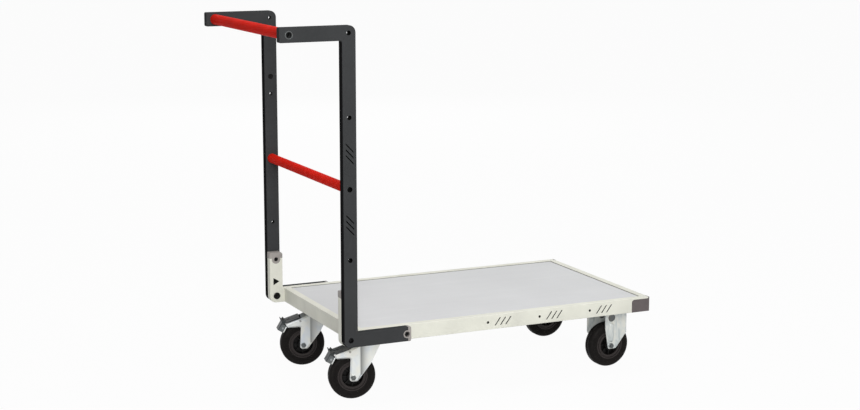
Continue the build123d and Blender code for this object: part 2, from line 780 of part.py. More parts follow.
for side, plane in swivel_planes.items():
    with BuildPart() as fork:
        for start in (fork_inner, -fork_outer):
            with BuildSketch(plane.offset(start)):
                outline_face(leg_outline + cheek_front + leg_lower[1:], cheek_radii)
            extrude(amount=fork_sheet)
        for start, rise in ((fork_outer, fork_raise), (-fork_outer, -fork_raise)):
            with BuildPart(mode=Mode.PRIVATE) as pressed_leg:
                with BuildSketch(plane.offset(start)):
                    outline_face(leg_outline + leg_lower, leg_radii)
                extrude(amount=rise)
                outwards = Axis(plane.origin, plane.z_dir * rise)
                chamfer(pressed_leg.faces().sort_by(outwards)[-1].edges(), fork_press_slope)
            add(pressed_leg.part)
        with BuildSketch(Plane.XY.offset(crown_bottom)):
            with Locations(Location((plane.origin.X, plane.origin.Y))):
                Circle(crown_radius)
        extrude(amount=crown_thickness)
        with BuildSketch(Plane.XY.offset(crown_bottom)):
            with Locations(Location((plane.origin.X, plane.origin.Y))):
                ring_sketch(2 * crown_radius, 2 * (crown_radius - skirt_thickness))
        extrude(amount=plate_bottom - skirt_gap - crown_bottom)
        with Locations((plane.origin.X, plane.origin.Y, ball_z)):
            Torus(race_radius, ball_diameter / 2 + ball_fit, mode=Mode.SUBTRACT)
            Cylinder(kingpin_diameter / 2 + running_fit, kingpin_cut, mode=Mode.SUBTRACT)
        with BuildSketch(plane):
            with Locations((-trail, axle_z)):
                Circle(axle_bolt / 2)
            with Locations((-pedal_pin_back, pedal_pin_height)):
                Circle(pedal_pin_diameter / 2)
        extrude(amount=2 * fork_face, both=True, mode=Mode.SUBTRACT)
    save(fork, f"{side}_fork")

# Fixed brackets of the front casters: a plate with two pressed legs that slope opposite ways
for side, plane in fixed_planes.items():
    with BuildPart() as bracket:
        with BuildSketch(Plane.XY.offset(plate_bottom)):
            with Locations(Location((plane.origin.X, plane.origin.Y))):
                RectangleRounded(plate_length, plate_width, plate_corner)
                with GridLocations(bolt_spacing_x, bolt_spacing_y, 2, 2):
                    Circle(caster_bolt / 2, mode=Mode.SUBTRACT)
        extrude(amount=plate_thickness)
        outer_leg = (fork_inner, 1, 1, bracket_leg_rear)
        inner_leg = (-fork_inner, -1, -1, bracket_back_reach)
        for start, rise, flip, reach in (outer_leg, inner_leg):
            leg_points = [
                (-flip * reach, plate_bottom),
                (-flip * reach, axle_z + bracket_leg_front),
                (-flip * bracket_tip_rear, axle_z - bracket_tip_drop),
                (flip * bracket_tip_front, axle_z - bracket_tip_drop),
                (flip * bracket_leg_front, axle_z + bracket_shoulder),
                (flip * bracket_leg_front, plate_bottom),
            ]
            with BuildSketch(plane.offset(start)):
                outline_face(leg_points, [0, bracket_bend, bracket_tip_round, bracket_bend, bracket_bend, 0])
                with Locations((flip * bracket_rib_x, bracket_window_height)):
                    Circle(bracket_window / 2, mode=Mode.SUBTRACT)
            extrude(amount=rise * fork_sheet)
            rib_top = bracket_window_height - bracket_window / 2 - fork_sheet
            rib_bottom = axle_z + bracket_tip_drop
            with BuildSketch(plane.offset(start + rise * fork_sheet)):
                with Locations((flip * bracket_rib_x, (rib_top + rib_bottom) / 2)):
                    SlotOverall(rib_top - rib_bottom, bracket_rib_width, rotation=90)
            extrude(amount=rise * bracket_rib_raise, taper=bracket_rib_taper)
        with BuildSketch(plane):
            with Locations((0, axle_z)):
                Circle(axle_bolt / 2)
        extrude(amount=2 * fork_face, both=True, mode=Mode.SUBTRACT)
    save(bracket, f"{side}_fixed_bracket")

# Axles: a sleeve between the cheeks, a bolt through them, a head and a nut
for name, plane in wheel_planes.items():
    with BuildPart() as axle:
        cheek_side = fork_face if name.endswith("rear") else fork_outer
        with BuildSketch(plane):
            Circle(axle_sleeve / 2)
        extrude(amount=fork_inner, both=True)
        with BuildSketch(plane):
            Circle(axle_bolt / 2)
        extrude(amount=cheek_side, both=True)
        for start, height in ((cheek_side, axle_head_height), (-cheek_side, -axle_head_height)):
            with BuildSketch(plane.offset(start)):
                RegularPolygon(axle_head / 2, 6, major_radius=False)
            extrude(amount=height)
    save(axle, f"{name}_axle")

# Tyres, wheel centres and their bushes
half_tyre = tyre_width / 2
half_rim = rim_width / 2
for name, plane in wheel_planes.items():
    spin = Axis(plane.origin, plane.z_dir)
    with BuildPart() as tyre:
        half = [
            (half_rim, tyre_bore / 2),
            (half_rim, tyre_lip / 2),
            (half_tyre - tyre_side_step, tyre_lip / 2),
            (half_tyre, tyre_lip / 2 + tyre_side_slope),
            (half_tyre, wheel_diameter / 2),
        ]
        other_half = [(-x, y) for x, y in reversed(half)]
        half_radii = [0, 0, tyre_side_step / 2, tyre_side_step, tyre_shoulder]
        with BuildSketch(rim_plane(plane)):
            outline_face(half + other_half, half_radii + half_radii[::-1])
        revolve(axis=spin)
    save(tyre, f"{name}_tyre")

    with BuildPart() as wheel_centre:
        half = [
            (hub_half, bush_outer / 2),
            (hub_half, hub_diameter / 2 - hub_draft),
            (rim_web / 2, hub_diameter / 2),
            (rim_web / 2, rim_opening / 2 - rim_draft),
            (half_rim, rim_opening / 2),
            (half_rim, tyre_bore / 2),
        ]
        other_half = [(-x, y) for x, y in reversed(half)]
        with BuildSketch(rim_plane(plane)):
            outline_face(half + other_half, 0)
        revolve(axis=spin)
        rib_reach = (rim_opening - hub_diameter) / 2
        with BuildSketch(plane):
            with PolarLocations((rim_opening + hub_diameter) / 4, rib_count):
                Rectangle(rib_reach, rib_thickness)
        extrude(amount=half_rim - rib_thickness, both=True)
    save(wheel_centre, f"{name}_wheel_centre")

    with BuildPart() as wheel_bush:
        with BuildSketch(plane):
            ring_sketch(bush_outer, axle_sleeve + 2 * running_fit)
        extrude(amount=hub_half, both=True)
    save(wheel_bush, f"{name}_bush")

# Pedal pins: rivets across the brake arms of each fork
for side, plane in swivel_planes.items():
    with BuildPart() as pedal_pin:
        with BuildSketch(plane):
            with Locations((-pedal_pin_back, pedal_pin_height)):
                Circle(pedal_pin_diameter / 2)
        extrude(amount=fork_face + pedal_pin_end, both=True)
    save(pedal_pin, f"{side}_pedal_pin")

# Brake pedals: a sloping tread with eyes on the pedal pin, a toothed lip and a flap that carries the shoe
for side, plane in swivel_planes.items():
    tread = turned(shifted(plane, -pedal_pin_back, pedal_pin_height), tread_slope)
    tread_top = Plane(
        origin=tread.from_local_coords((0, pedal_lift + pedal_sheet, 0)),
        x_dir=tread.x_dir,
        z_dir=tread.y_dir,
    )
    shoe_plane = turned(shifted(plane, -trail, axle_z), shoe_angle)
    with BuildPart() as brake_pedal:
        with BuildSketch(tread):
            with Locations(((pedal_overhang - tread_length) / 2, pedal_lift + pedal_sheet / 2)):
                Rectangle(tread_length + pedal_overhang, pedal_sheet)
        extrude(amount=pedal_half_width, both=True)
        with BuildSketch(tread_top):
            with Locations((pedal_slot_margin + pedal_slot_length / 2 - tread_length, 0)):
                SlotOverall(pedal_slot_length, pedal_slot_width)
        extrude(amount=-pedal_sheet, mode=Mode.SUBTRACT)
        with BuildSketch(tread):
            with Locations((pedal_sheet / 2 - tread_length, pedal_lift + pedal_sheet + pedal_lip / 2)):
                Rectangle(pedal_sheet, pedal_lip)
        extrude(amount=pedal_lip_half_width, both=True)
        lip_plane = Plane(
            origin=tread.from_local_coords((-tread_length, pedal_lift + pedal_sheet + pedal_lip, 0)),
            x_dir=tread.z_dir,
            z_dir=tread.x_dir,
        )
        with BuildSketch(lip_plane):
            with GridLocations(2 * pedal_lip_half_width / pedal_tooth_count, 0, pedal_tooth_count - 1, 1):
                Rectangle(pedal_tooth_depth * sqrt(2), pedal_tooth_depth * sqrt(2), rotation=45)
        extrude(amount=pedal_sheet, mode=Mode.SUBTRACT)
        ear_foot = pedal_lift + pedal_sheet
        ear_points = [
            (-tread_length, ear_foot),
            (-tread_length, ear_foot + pedal_lip),
            (pedal_ear_length / 3 - tread_length, ear_foot + pedal_tooth_depth),
            (pedal_ear_length * 2 / 3 - tread_length, ear_foot + pedal_ear_rise),
            (pedal_ear_length - tread_length, ear_foot),
        ]
        for start in (pedal_lip_half_width - pedal_sheet, -pedal_lip_half_width):
            with BuildSketch(tread.offset(start)):
                outline_face(ear_points, 0)
            extrude(amount=pedal_sheet)
        for start in (fork_inner - pedal_eye_play - pedal_eye_thickness, pedal_eye_play - fork_inner):
            with BuildSketch(tread.offset(start)):
                with Locations((0, pedal_lift / 2)):
                    Rectangle(pedal_eye, pedal_lift)
                Circle(pedal_eye / 2)
            extrude(amount=pedal_eye_thickness)
        with BuildSketch(tread):
            Circle(pedal_pin_diameter / 2 + running_fit)
        extrude(amount=pedal_half_width, both=True, mode=Mode.SUBTRACT)
        with BuildSketch(shoe_plane):
            with Locations((shoe_back + pedal_sheet / 2, -shoe_shift - pedal_sheet / 2)):
                Rectangle(pedal_sheet, shoe_length + pedal_sheet)
        extrude(amount=shoe_half_width, both=True)
    save(brake_pedal, f"{side}_brake_pedal")

    with BuildPart() as brake_shoe:
        with BuildSketch(shoe_plane):
            with Locations((shoe_face + shoe_depth / 2, -shoe_shift)):
                RectangleRounded(shoe_depth, shoe_length, shoe_round)
        extrude(amount=shoe_half_width, both=True)
    save(brake_shoe, f"{side}_brake_shoe")
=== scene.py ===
"""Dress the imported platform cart: finishes, small fittings, studio light and the camera."""

import logging
import math
from collections.abc import Callable, Iterator, Sequence
from contextlib import contextmanager
from dataclasses import dataclass, field
from enum import Enum

import bmesh
import bpy
from mathutils import Matrix, Vector


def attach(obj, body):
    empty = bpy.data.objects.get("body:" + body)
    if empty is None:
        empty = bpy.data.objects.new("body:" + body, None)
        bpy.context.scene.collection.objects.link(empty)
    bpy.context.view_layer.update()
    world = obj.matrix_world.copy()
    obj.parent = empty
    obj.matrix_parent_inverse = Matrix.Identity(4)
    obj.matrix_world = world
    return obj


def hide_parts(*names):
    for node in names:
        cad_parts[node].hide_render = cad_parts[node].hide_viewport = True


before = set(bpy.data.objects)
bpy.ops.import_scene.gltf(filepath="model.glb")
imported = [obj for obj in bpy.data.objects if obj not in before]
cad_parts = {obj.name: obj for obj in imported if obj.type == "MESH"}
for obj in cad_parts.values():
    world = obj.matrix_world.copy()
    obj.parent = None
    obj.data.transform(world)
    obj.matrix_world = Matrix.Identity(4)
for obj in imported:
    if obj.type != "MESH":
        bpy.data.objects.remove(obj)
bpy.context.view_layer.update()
log = logging.getLogger("platform_cart")

MM = 0.001
FULL_TURN = 2 * math.pi
TURNED_ROUND = Matrix.Rotation(math.pi, 4, "Z")
# Limits in modelling: a face at a place, points that are one, an end's flatness, smooth edges in degrees
NEAR = 0.02 * MM
WELD = 0.001 * MM
FLAT = 0.9
SMOOTH_ANGLE = 35.0
# The part of a noise's range where most of its values lie
NOISE_SPAN = (0.3, 0.7)
# The axis that the handle back folds about, which posts, uprights and rails share
PIVOT_X = -0.361
PIVOT_Z = 0.190

Span = tuple[float, float]
Triple = tuple[float, float, float]
Colour = tuple[float, float, float]
Socket = bpy.types.NodeSocket


class Side(Enum):
    """The two sides of the cart, with the sign of their Y."""

    LEFT = 1
    RIGHT = -1

    @property
    def word(self) -> str:
        """The side's name as the nodes spell it."""
        return self.name.lower()


class End(Enum):
    """The two ends of the cart, as the wheel nodes spell them."""

    REAR = "rear"
    FRONT = "front"


def linear(colour: Colour) -> tuple[float, float, float, float]:
    """Turn a display colour into the scene's linear colour.

    Args:
        colour: Red, green and blue from 0 to 255, as seen on a screen.

    Returns:
        The linear colour with an alpha of 1.
    """
    shares = [c / 255 for c in colour]
    curve = [s / 12.92 if s <= 0.04045 else ((s + 0.055) / 1.055) ** 2.4 for s in shares]
    return (*curve, 1.0)


def shade(colour: Colour, share: float) -> Colour:
    """Make a display colour lighter or darker by a share of itself."""
    return tuple(min(255.0, c * share) for c in colour)


def calculate(tree: bpy.types.NodeTree, operation: str, *values: Socket | float) -> Socket:
    """Add a math node.

    Args:
        tree: The node tree that gets it.
        operation: What the node does.
        values: Its inputs, each a socket or a number.

    Returns:
        The result's socket.
    """
    node = tree.nodes.new("ShaderNodeMath")
    node.operation = operation
    for entry, value in zip(node.inputs, values):
        if isinstance(value, Socket):
            tree.links.new(value, entry)
        else:
            entry.default_value = value
    return node.outputs["Value"]


class NodeSheet:
    """The node tree of one material, with short ways to add what the finishes share."""

    def __init__(self, name: str) -> None:
        """Start a material that has a Principled shader.

        Args:
            name: The material's name.
        """
        self.material = bpy.data.materials.new(name)
        self.material.use_nodes = True
        self.tree = self.material.node_tree
        self.shader = self.tree.nodes["Principled BSDF"]
        self.place = self.tree.nodes.new("ShaderNodeTexCoord").outputs["Object"]

    def add(self, kind: str, entry: str | int, value: Socket) -> bpy.types.Node:
        """Add a node that reads a value.

        Args:
            kind: The node's type.
            entry: Name or number of the input that the value goes to.
            value: The value's socket.

        Returns:
            The node.
        """
        node = self.tree.nodes.new(kind)
        self.tree.links.new(value, node.inputs[entry])
        return node

    def settle(self, **values: float) -> None:
        """Set numbers that are the same all over on the shader's own sockets, named with _ for a space."""
        for name, value in values.items():
            self.shader.inputs[name.replace("_", " ")].default_value = value

    def lead(self, **values: Socket) -> None:
        """Lead values to the shader's sockets, named with _ for a space."""
        for name, value in values.items():
            self.tree.links.new(value, self.shader.inputs[name.replace("_", " ")])

    def noise(
        self, size_mm: float, detail: float = 2.0, stretch: Triple = (1, 1, 1), swirl: float = 0.0
    ) -> Socket:
        """Add a noise pattern.

        Args:
            size_mm: Rough size of one blotch.
            detail: How many finer layers are added.
            stretch: How much finer the pattern is along each axis.
            swirl: How much the pattern is distorted.

        Returns:
            The noise value's socket.
        """
        turn = self.add("ShaderNodeMapping", "Vector", self.place)
        turn.inputs["Scale"].default_value = stretch
        node = self.add("ShaderNodeTexNoise", "Vector", turn.outputs["Vector"])
        node.inputs["Scale"].default_value = 1 / (size_mm * MM)
        node.inputs["Detail"].default_value = detail
        node.inputs["Distortion"].default_value = swirl
        return node.outputs["Fac"]

    def spread(self, value: Socket, source: Span, target: Span) -> Socket:
        """Map one range of a value onto another, and clamp it there.

        Args:
            value: The socket to read.
            source: Low and high end of the range that is read.
            target: What the two ends become.

        Returns:
            The mapped value's socket.
        """
        node = self.add("ShaderNodeMapRange", "Value", value)
        for name, number in zip(("From Min", "From Max", "To Min", "To Max"), (*source, *target)):
            node.inputs[name].default_value = number
        return node.outputs["Result"]

    def product(self, first: Socket, *others: Socket) -> Socket:
        """Multiply values.

        Args:
            first: One value's socket.
            others: The other values' sockets.

        Returns:
            The product's socket.
        """
        result = first
        for other in others:
            result = calculate(self.tree, "MULTIPLY", result, other)
        return result

    def along(self, axis: str) -> Socket:
        """Add the place's X, Y or Z."""
        return self.add("ShaderNodeSeparateXYZ", "Vector", self.place).outputs[axis]

    def close_to(self, value: Socket, middle: float, reach: float) -> Socket:
        """Add a value that is 1 where another is within reach of a number, and 0 elsewhere."""
        return calculate(self.tree, "COMPARE", value, middle, reach)

    def within(self, axis: str, low: float, high: float) -> Socket:
        """Add a value that is 1 between two planes, and 0 outside them.

        Args:
            axis: X, Y or Z; for Y the distance from the middle plane counts.
            low: Place of the first plane.
            high: Place of the second plane.

        Returns:
            The value's socket.
        """
        place = self.along(axis)
        if axis == "Y":
            place = calculate(self.tree, "ABSOLUTE", place)
        return self.close_to(place, (low + high) / 2, (high - low) / 2)

    def weigh(self, weights: Triple) -> Socket:
        """Add a weighted sum of the place's X, Y and Z.

        Args:
            weights: The weight of each axis.

        Returns:
            The sum's socket.
        """
        node = self.add("ShaderNodeVectorMath", 0, self.place)
        node.operation = "DOT_PRODUCT"
        node.inputs[1].default_value = weights
        return node.outputs["Value"]

    def repeat(self, value: Socket, middle: float, pitch: float) -> Socket:
        """Fold a value so that it runs from -pitch/2 to pitch/2 round a number and all its repeats."""
        shifted = calculate(self.tree, "SUBTRACT", value, middle)
        return calculate(self.tree, "WRAP", shifted, pitch / 2, -pitch / 2)

    def height(self, low: float, high: float) -> Socket:
        """Add a value that falls from 1 at one height to 0 at another."""
        return self.spread(self.along("Z"), (low, high), (1, 0))

    def ramp(self, value: Socket, stops: Sequence[tuple[float, Colour]]) -> Socket:
        """Colour a value by a row of stops.

        Args:
            value: The socket to colour.
            stops: Place and display colour of each stop.

        Returns:
            The colour's socket.
        """
        node = self.add("ShaderNodeValToRGB", "Fac", value)
        elements = node.color_ramp.elements
        while len(elements) < len(stops):
            elements.new(1.0)
        for element, (place, colour) in zip(elements, stops):
            element.position = place
            element.color = linear(colour)
        return node.outputs["Color"]

    def cloud(self, value: Socket, colour: Colour, tones: Span) -> Socket:
        """Vary a display colour by a noise, from a darker to a lighter share of itself."""
        return self.ramp(value, [(place, shade(colour, tone)) for place, tone in zip(NOISE_SPAN, tones)])

    def blend(self, factor: Socket, first: Socket, second: Colour) -> Socket:
        """Lay one plain colour over a colour by a factor.

        Args:
            factor: Socket of the share of the second colour.
            first: Socket of the colour below.
            second: Display colour that is laid over it.

        Returns:
            The mixed colour's socket.
        """
        node = self.add("ShaderNodeMix", 0, factor)
        node.data_type = "RGBA"
        self.tree.links.new(first, node.inputs[6])
        node.inputs[7].default_value = linear(second)
        return node.outputs[2]

    def relief(self, value: Socket, depth_mm: float, strength: float) -> None:
        """Let a value stand out as a fine relief.

        Args:
            value: Socket of the height.
            depth_mm: Depth of the relief.
            strength: How strongly it shows.
        """
        node = self.add("ShaderNodeBump", "Height", value)
        node.inputs["Distance"].default_value = depth_mm * MM
        node.inputs["Strength"].default_value = strength
        self.lead(Normal=node.outputs["Normal"])


@dataclass(frozen=True)
class ShadeBand:
    """A region of a painted wall that gets painted shade: inside slits and holes, in seams and on rear
    faces.
    """

    x: Span
    y: Span
    z: Span
    dark: Colour = (22, 22, 22)

    def mask(self, sheet: NodeSheet) -> Socket:
        """Add a value that is 1 in the region, and 0 elsewhere."""
        spans = {"X": self.x, "Y": self.y, "Z": self.z}
        return sheet.product(*(sheet.within(axis, *span) for axis, span in spans.items()))


@dataclass(frozen=True)
class SlitShadeRows(ShadeBand):
    """Painted shade in narrow borders beside slanted slits, which stand in equal groups within a region of a
    wall.
    """

    lean: Triple = (1, 0, 0)
    middle: Triple = (0, 0, 0)
    group: float = 1.0
    pitch: float = 0.015
    count: int = 3
    edge: float = 0.0014

    def mask(self, sheet: NodeSheet) -> Socket:
        """Add a value that is 1 beside the slits, and 0 elsewhere.

        Args:
            sheet: The material that the value is for.

        Returns:
            The value's socket.
        """
        steep = math.hypot(*self.lean)
        first = sum(weight * place for weight, place in zip(self.lean, self.middle))
        groups = sheet.repeat(sheet.weigh(self.lean), first, self.group)
        inside = sheet.close_to(groups, 0, self.count * self.pitch / 2)
        beside = sheet.close_to(sheet.repeat(groups, 0, self.pitch), 0, self.edge * steep)
        return sheet.product(super().mask(sheet), inside, beside)


@dataclass(frozen=True)
class PowderCoat:
    """Baked paint on steel: a fine orange peel, soft blotches, a few rubbed places and painted shade in
    given bands.
    """

    name: str
    colour: Colour
    rubbed: Colour
    shade_bands: tuple[ShadeBand, ...] = ()
    sheen: Span = (0.40, 0.54)
    sheen_mm: float = 14
    gloss: float = 0.3
    blotch_mm: float = 90
    tone: float = 0.035
    streak_mm: float = 26
    streak_stretch: Triple = (1, 1, 0.35)
    streak_swirl: float = 0.8
    rub_span: Span = (0.66, 0.80)
    rub: float = 0.35
    peel_mm: float = 1.4
    peel_depth_mm: float = 0.08
    peel_strength: float = 0.25

    def material(self) -> bpy.types.Material:
        """Build the coat's material.

        Returns:
            The material.
        """
        sheet = NodeSheet(self.name)
        sheet.settle(Specular_IOR_Level=self.gloss)
        blotches = sheet.noise(self.blotch_mm, detail=4)
        base = sheet.cloud(blotches, self.colour, (1 - self.tone, 1 + self.tone))
        streaks = sheet.noise(self.streak_mm, detail=6, stretch=self.streak_stretch, swirl=self.streak_swirl)
        paint = sheet.blend(sheet.spread(streaks, self.rub_span, (0, self.rub)), base, self.rubbed)
        # Painted shade: darken the paint in each of the listed bands
        for cut in self.shade_bands:
            paint = sheet.blend(cut.mask(sheet), paint, cut.dark)
        dullness = sheet.spread(sheet.noise(self.sheen_mm, detail=5), NOISE_SPAN, self.sheen)
        sheet.lead(Base_Color=paint, Roughness=dullness)
        sheet.relief(sheet.noise(self.peel_mm), self.peel_depth_mm, self.peel_strength)
        return sheet.material


@dataclass(frozen=True)
class BoardFilm:
    """The deck's film-faced board: a pressed grain, faint clouds and light rub marks."""

    name: str
    colour: Colour
    speck: Colour
    mark: Colour
    cloud_mm: float = 240
    tones: Span = (0.985, 1.015)
    speck_mm: float = 2.4
    speck_span: Span = (0.60, 0.72)
    speck_share: float = 0.30
    drag_mm: float = 60
    drag_stretch: Triple = (0.25, 2.2, 1)
    drag_swirl: float = 0.6
    mark_span: Span = (0.64, 0.76)
    mark_share: float = 0.22
    sheen_span: Span = (0.3, 0.75)
    sheen: Span = (0.52, 0.40)
    grain_mm: float = 1.8
    grain_depth_mm: float = 0.15
    grain_strength: float = 0.22

    def material(self) -> bpy.types.Material:
        """Build the film's material.

        Returns:
            The material.
        """
        sheet = NodeSheet(self.name)
        base = sheet.cloud(sheet.noise(self.cloud_mm, detail=3), self.colour, self.tones)
        specks = sheet.spread(sheet.noise(self.speck_mm, detail=1), self.speck_span, (0, self.speck_share))
        speckled = sheet.blend(specks, base, self.speck)
        drag = sheet.noise(self.drag_mm, detail=5, stretch=self.drag_stretch, swirl=self.drag_swirl)
        marks = sheet.spread(drag, self.mark_span, (0, self.mark_share))
        dullness = sheet.spread(drag, self.sheen_span, self.sheen)
        sheet.lead(Base_Color=sheet.blend(marks, speckled, self.mark), Roughness=dullness)
        sheet.relief(sheet.noise(self.grain_mm, detail=3), self.grain_depth_mm, self.grain_strength)
        return sheet.material


@dataclass(frozen=True)
class ZincPlate:
    """Plated pressed steel: bright, with faint blue and straw clouds, rolling lines and, where a valley
    attribute is named, painted shade in creases.
    """

    name: str
    cool: Colour
    middle: Colour
    warm: Colour
    sheen: Span = (0.30, 0.44)
    metal: float = 0.9
    gloss: float = 0.5
    grime_and_shade: float = 0.72
    cloud_mm: float = 34
    cloud_stops: Triple = (0.3, 0.5, 0.72)
    cloud_swirl: float = 0.6
    # How far the tint clouds are stretched upright; on the fixed brackets this gives streaks of painted
    # reflection
    vertical_stretch: float = 1.0
    spot_mm: float = 7
    spot_span: Span = (0.66, 0.78)
    spot_share: float = 0.25
    line_mm: float = 3
    line_stretch: Triple = (1, 1, 0.12)
    line_depth_mm: float = 0.05
    line_strength: float = 0.18
    valley: str = ""

    def material(self) -> bpy.types.Material:
        """Build the plating's material.

        Returns:
            The material.
        """
        sheet = NodeSheet(self.name)
        sheet.settle(Metallic=self.metal, Specular_IOR_Level=self.gloss)
        stretch = (1, 1, self.vertical_stretch)
        clouds = sheet.noise(self.cloud_mm * self.vertical_stretch, detail=3, stretch=stretch, swirl=self.cloud_swirl)
        base = sheet.ramp(clouds, list(zip(self.cloud_stops, (self.cool, self.middle, self.warm))))
        spots = sheet.spread(sheet.noise(self.spot_mm, detail=5), self.spot_span, (0, self.spot_share))
        plated = sheet.blend(spots, base, shade(self.middle, self.grime_and_shade))
        # Painted shade in the creases: darken the plating by the valley attribute
        if self.valley:
            depth = sheet.tree.nodes.new("ShaderNodeAttribute")
            depth.attribute_name = self.valley
            plated = sheet.blend(depth.outputs["Fac"], plated, shade(self.middle, self.grime_and_shade))
        lines = sheet.noise(self.line_mm, detail=3, stretch=self.line_stretch)
        sheet.lead(Base_Color=plated, Roughness=sheet.spread(lines, NOISE_SPAN, self.sheen))
        sheet.relief(lines, self.line_depth_mm, self.line_strength)
        return sheet.material


@dataclass(frozen=True)
class MouldedPlastic:
    """Moulded plastic with a spark-eroded grain and slightly polished high places."""

    name: str
    colour: Colour
    worn: Colour
    sheen: Span = (0.42, 0.58)
    sheen_mm: float = 5
    gloss: float = 0.3
    cloud_mm: float = 30
    tones: Span = (0.95, 1.05)
    worn_mm: float = 9
    worn_swirl: float = 0.5
    worn_span: Span = (0.62, 0.78)
    worn_share: float = 0.4
    grain_mm: float = 0.8
    grain_depth_mm: float = 0.08
    grain_strength: float = 0.3

    def material(self) -> bpy.types.Material:
        """Build the plastic's material.

        Returns:
            The material.
        """
        sheet = NodeSheet(self.name)
        sheet.settle(Specular_IOR_Level=self.gloss)
        base = sheet.cloud(sheet.noise(self.cloud_mm, detail=4), self.colour, self.tones)
        patches = sheet.noise(self.worn_mm, detail=5, swirl=self.worn_swirl)
        worn = sheet.spread(patches, self.worn_span, (0, self.worn_share))
        dullness = sheet.spread(sheet.noise(self.sheen_mm, detail=3), NOISE_SPAN, self.sheen)
        sheet.lead(Base_Color=sheet.blend(worn, base, self.worn), Roughness=dullness)
        sheet.relief(sheet.noise(self.grain_mm), self.grain_depth_mm, self.grain_strength)
        return sheet.material


@dataclass(frozen=True)
class TyreRubber:
    """Solid black rubber: dull, finely pitted and dusty towards the floor."""

    name: str
    colour: Colour
    dust: Colour
    dust_top: float = 0.05
    sheen: Span = (0.55, 0.75)
    gloss: float = 0.2
    cloud_mm: float = 18
    tones: Span = (0.9, 1.12)
    patch_mm: float = 12
    patch_span: Span = (0.40, 0.75)
    patch_share: float = 0.35
    pit_mm: float = 0.9
    pit_depth_mm: float = 0.12
    pit_strength: float = 0.35

    def material(self) -> bpy.types.Material:
        """Build the rubber's material.

        Returns:
            The material.
        """
        sheet = NodeSheet(self.name)
        sheet.settle(Specular_IOR_Level=self.gloss)
        base = sheet.cloud(sheet.noise(self.cloud_mm, detail=4), self.colour, self.tones)
        share = (0, self.patch_share)
        patches = sheet.spread(sheet.noise(self.patch_mm, detail=6), self.patch_span, share)
        dusty = sheet.product(patches, sheet.height(0, self.dust_top))
        dullness = sheet.spread(patches, share, self.sheen)
        sheet.lead(Base_Color=sheet.blend(dusty, base, self.dust), Roughness=dullness)
        sheet.relief(sheet.noise(self.pit_mm, detail=4), self.pit_depth_mm, self.pit_strength)
        return sheet.material


# Painted shade inside cut-outs and in the hollows behind them: the rails' holes and slits, the posts'
# arrows, the uprights' holes and slits
RAIL_CUT_SHADE = ShadeBand((-0.20, 0.48), (0.2555, 0.27485), (0.173, 0.207))
POST_CUT_SHADE = ShadeBand((-0.378, -0.344), (0.2553, 0.2747), (0.215, 0.248))
UPRIGHT_CUT_SHADE = ShadeBand((-0.378, -0.344), (0.2763, 0.29585), (0.176, 0.985))
# Painted shade on the rear faces of the uprights, which are dark all over
UPRIGHT_REAR_SHADE = ShadeBand((-0.381, -0.3787), (0.270, 0.300), (0.186, 0.953), (31, 31, 32))
# Narrow borders of painted shade beside the slits on the outer faces, and how far a slit leans
RAIL_SLIT_SLOPE = 14 / 19
UPRIGHT_SLIT_SLOPE = 20 / 19
RAIL_SLIT_SHADE = SlitShadeRows(
    (0.04, 0.48), (0.2745, 0.2760), (0.1795, 0.2005), (30, 30, 30),
    lean=(1, 0, -RAIL_SLIT_SLOPE), middle=(0.086, 0, PIVOT_Z), group=0.156, pitch=0.016,
)
UPRIGHT_SLIT_SHADE = SlitShadeRows(
    (-0.3715, -0.3505), (0.2955, 0.2970), (0.45, 0.715), (14, 14, 14),
    lean=(UPRIGHT_SLIT_SLOPE, 0, 1), middle=(PIVOT_X, 0, 0.490), group=0.182, pitch=0.0146,
)
# Painted shade on the rails' edges in the seam round the panel
REAR_SEAM_SHADE = ShadeBand((-0.3185, -0.3160), (0, 0.2555), (0.19, 0.2093), (132, 131, 124))
FRONT_SEAM_SHADE = ShadeBand((0.5220, 0.5245), (0, 0.2555), (0.19, 0.2093), (132, 131, 124))
SIDE_SEAM_SHADE = ShadeBand((-0.3175, 0.5235), (0.2535, 0.2560), (0.19, 0.2093), (150, 149, 142))


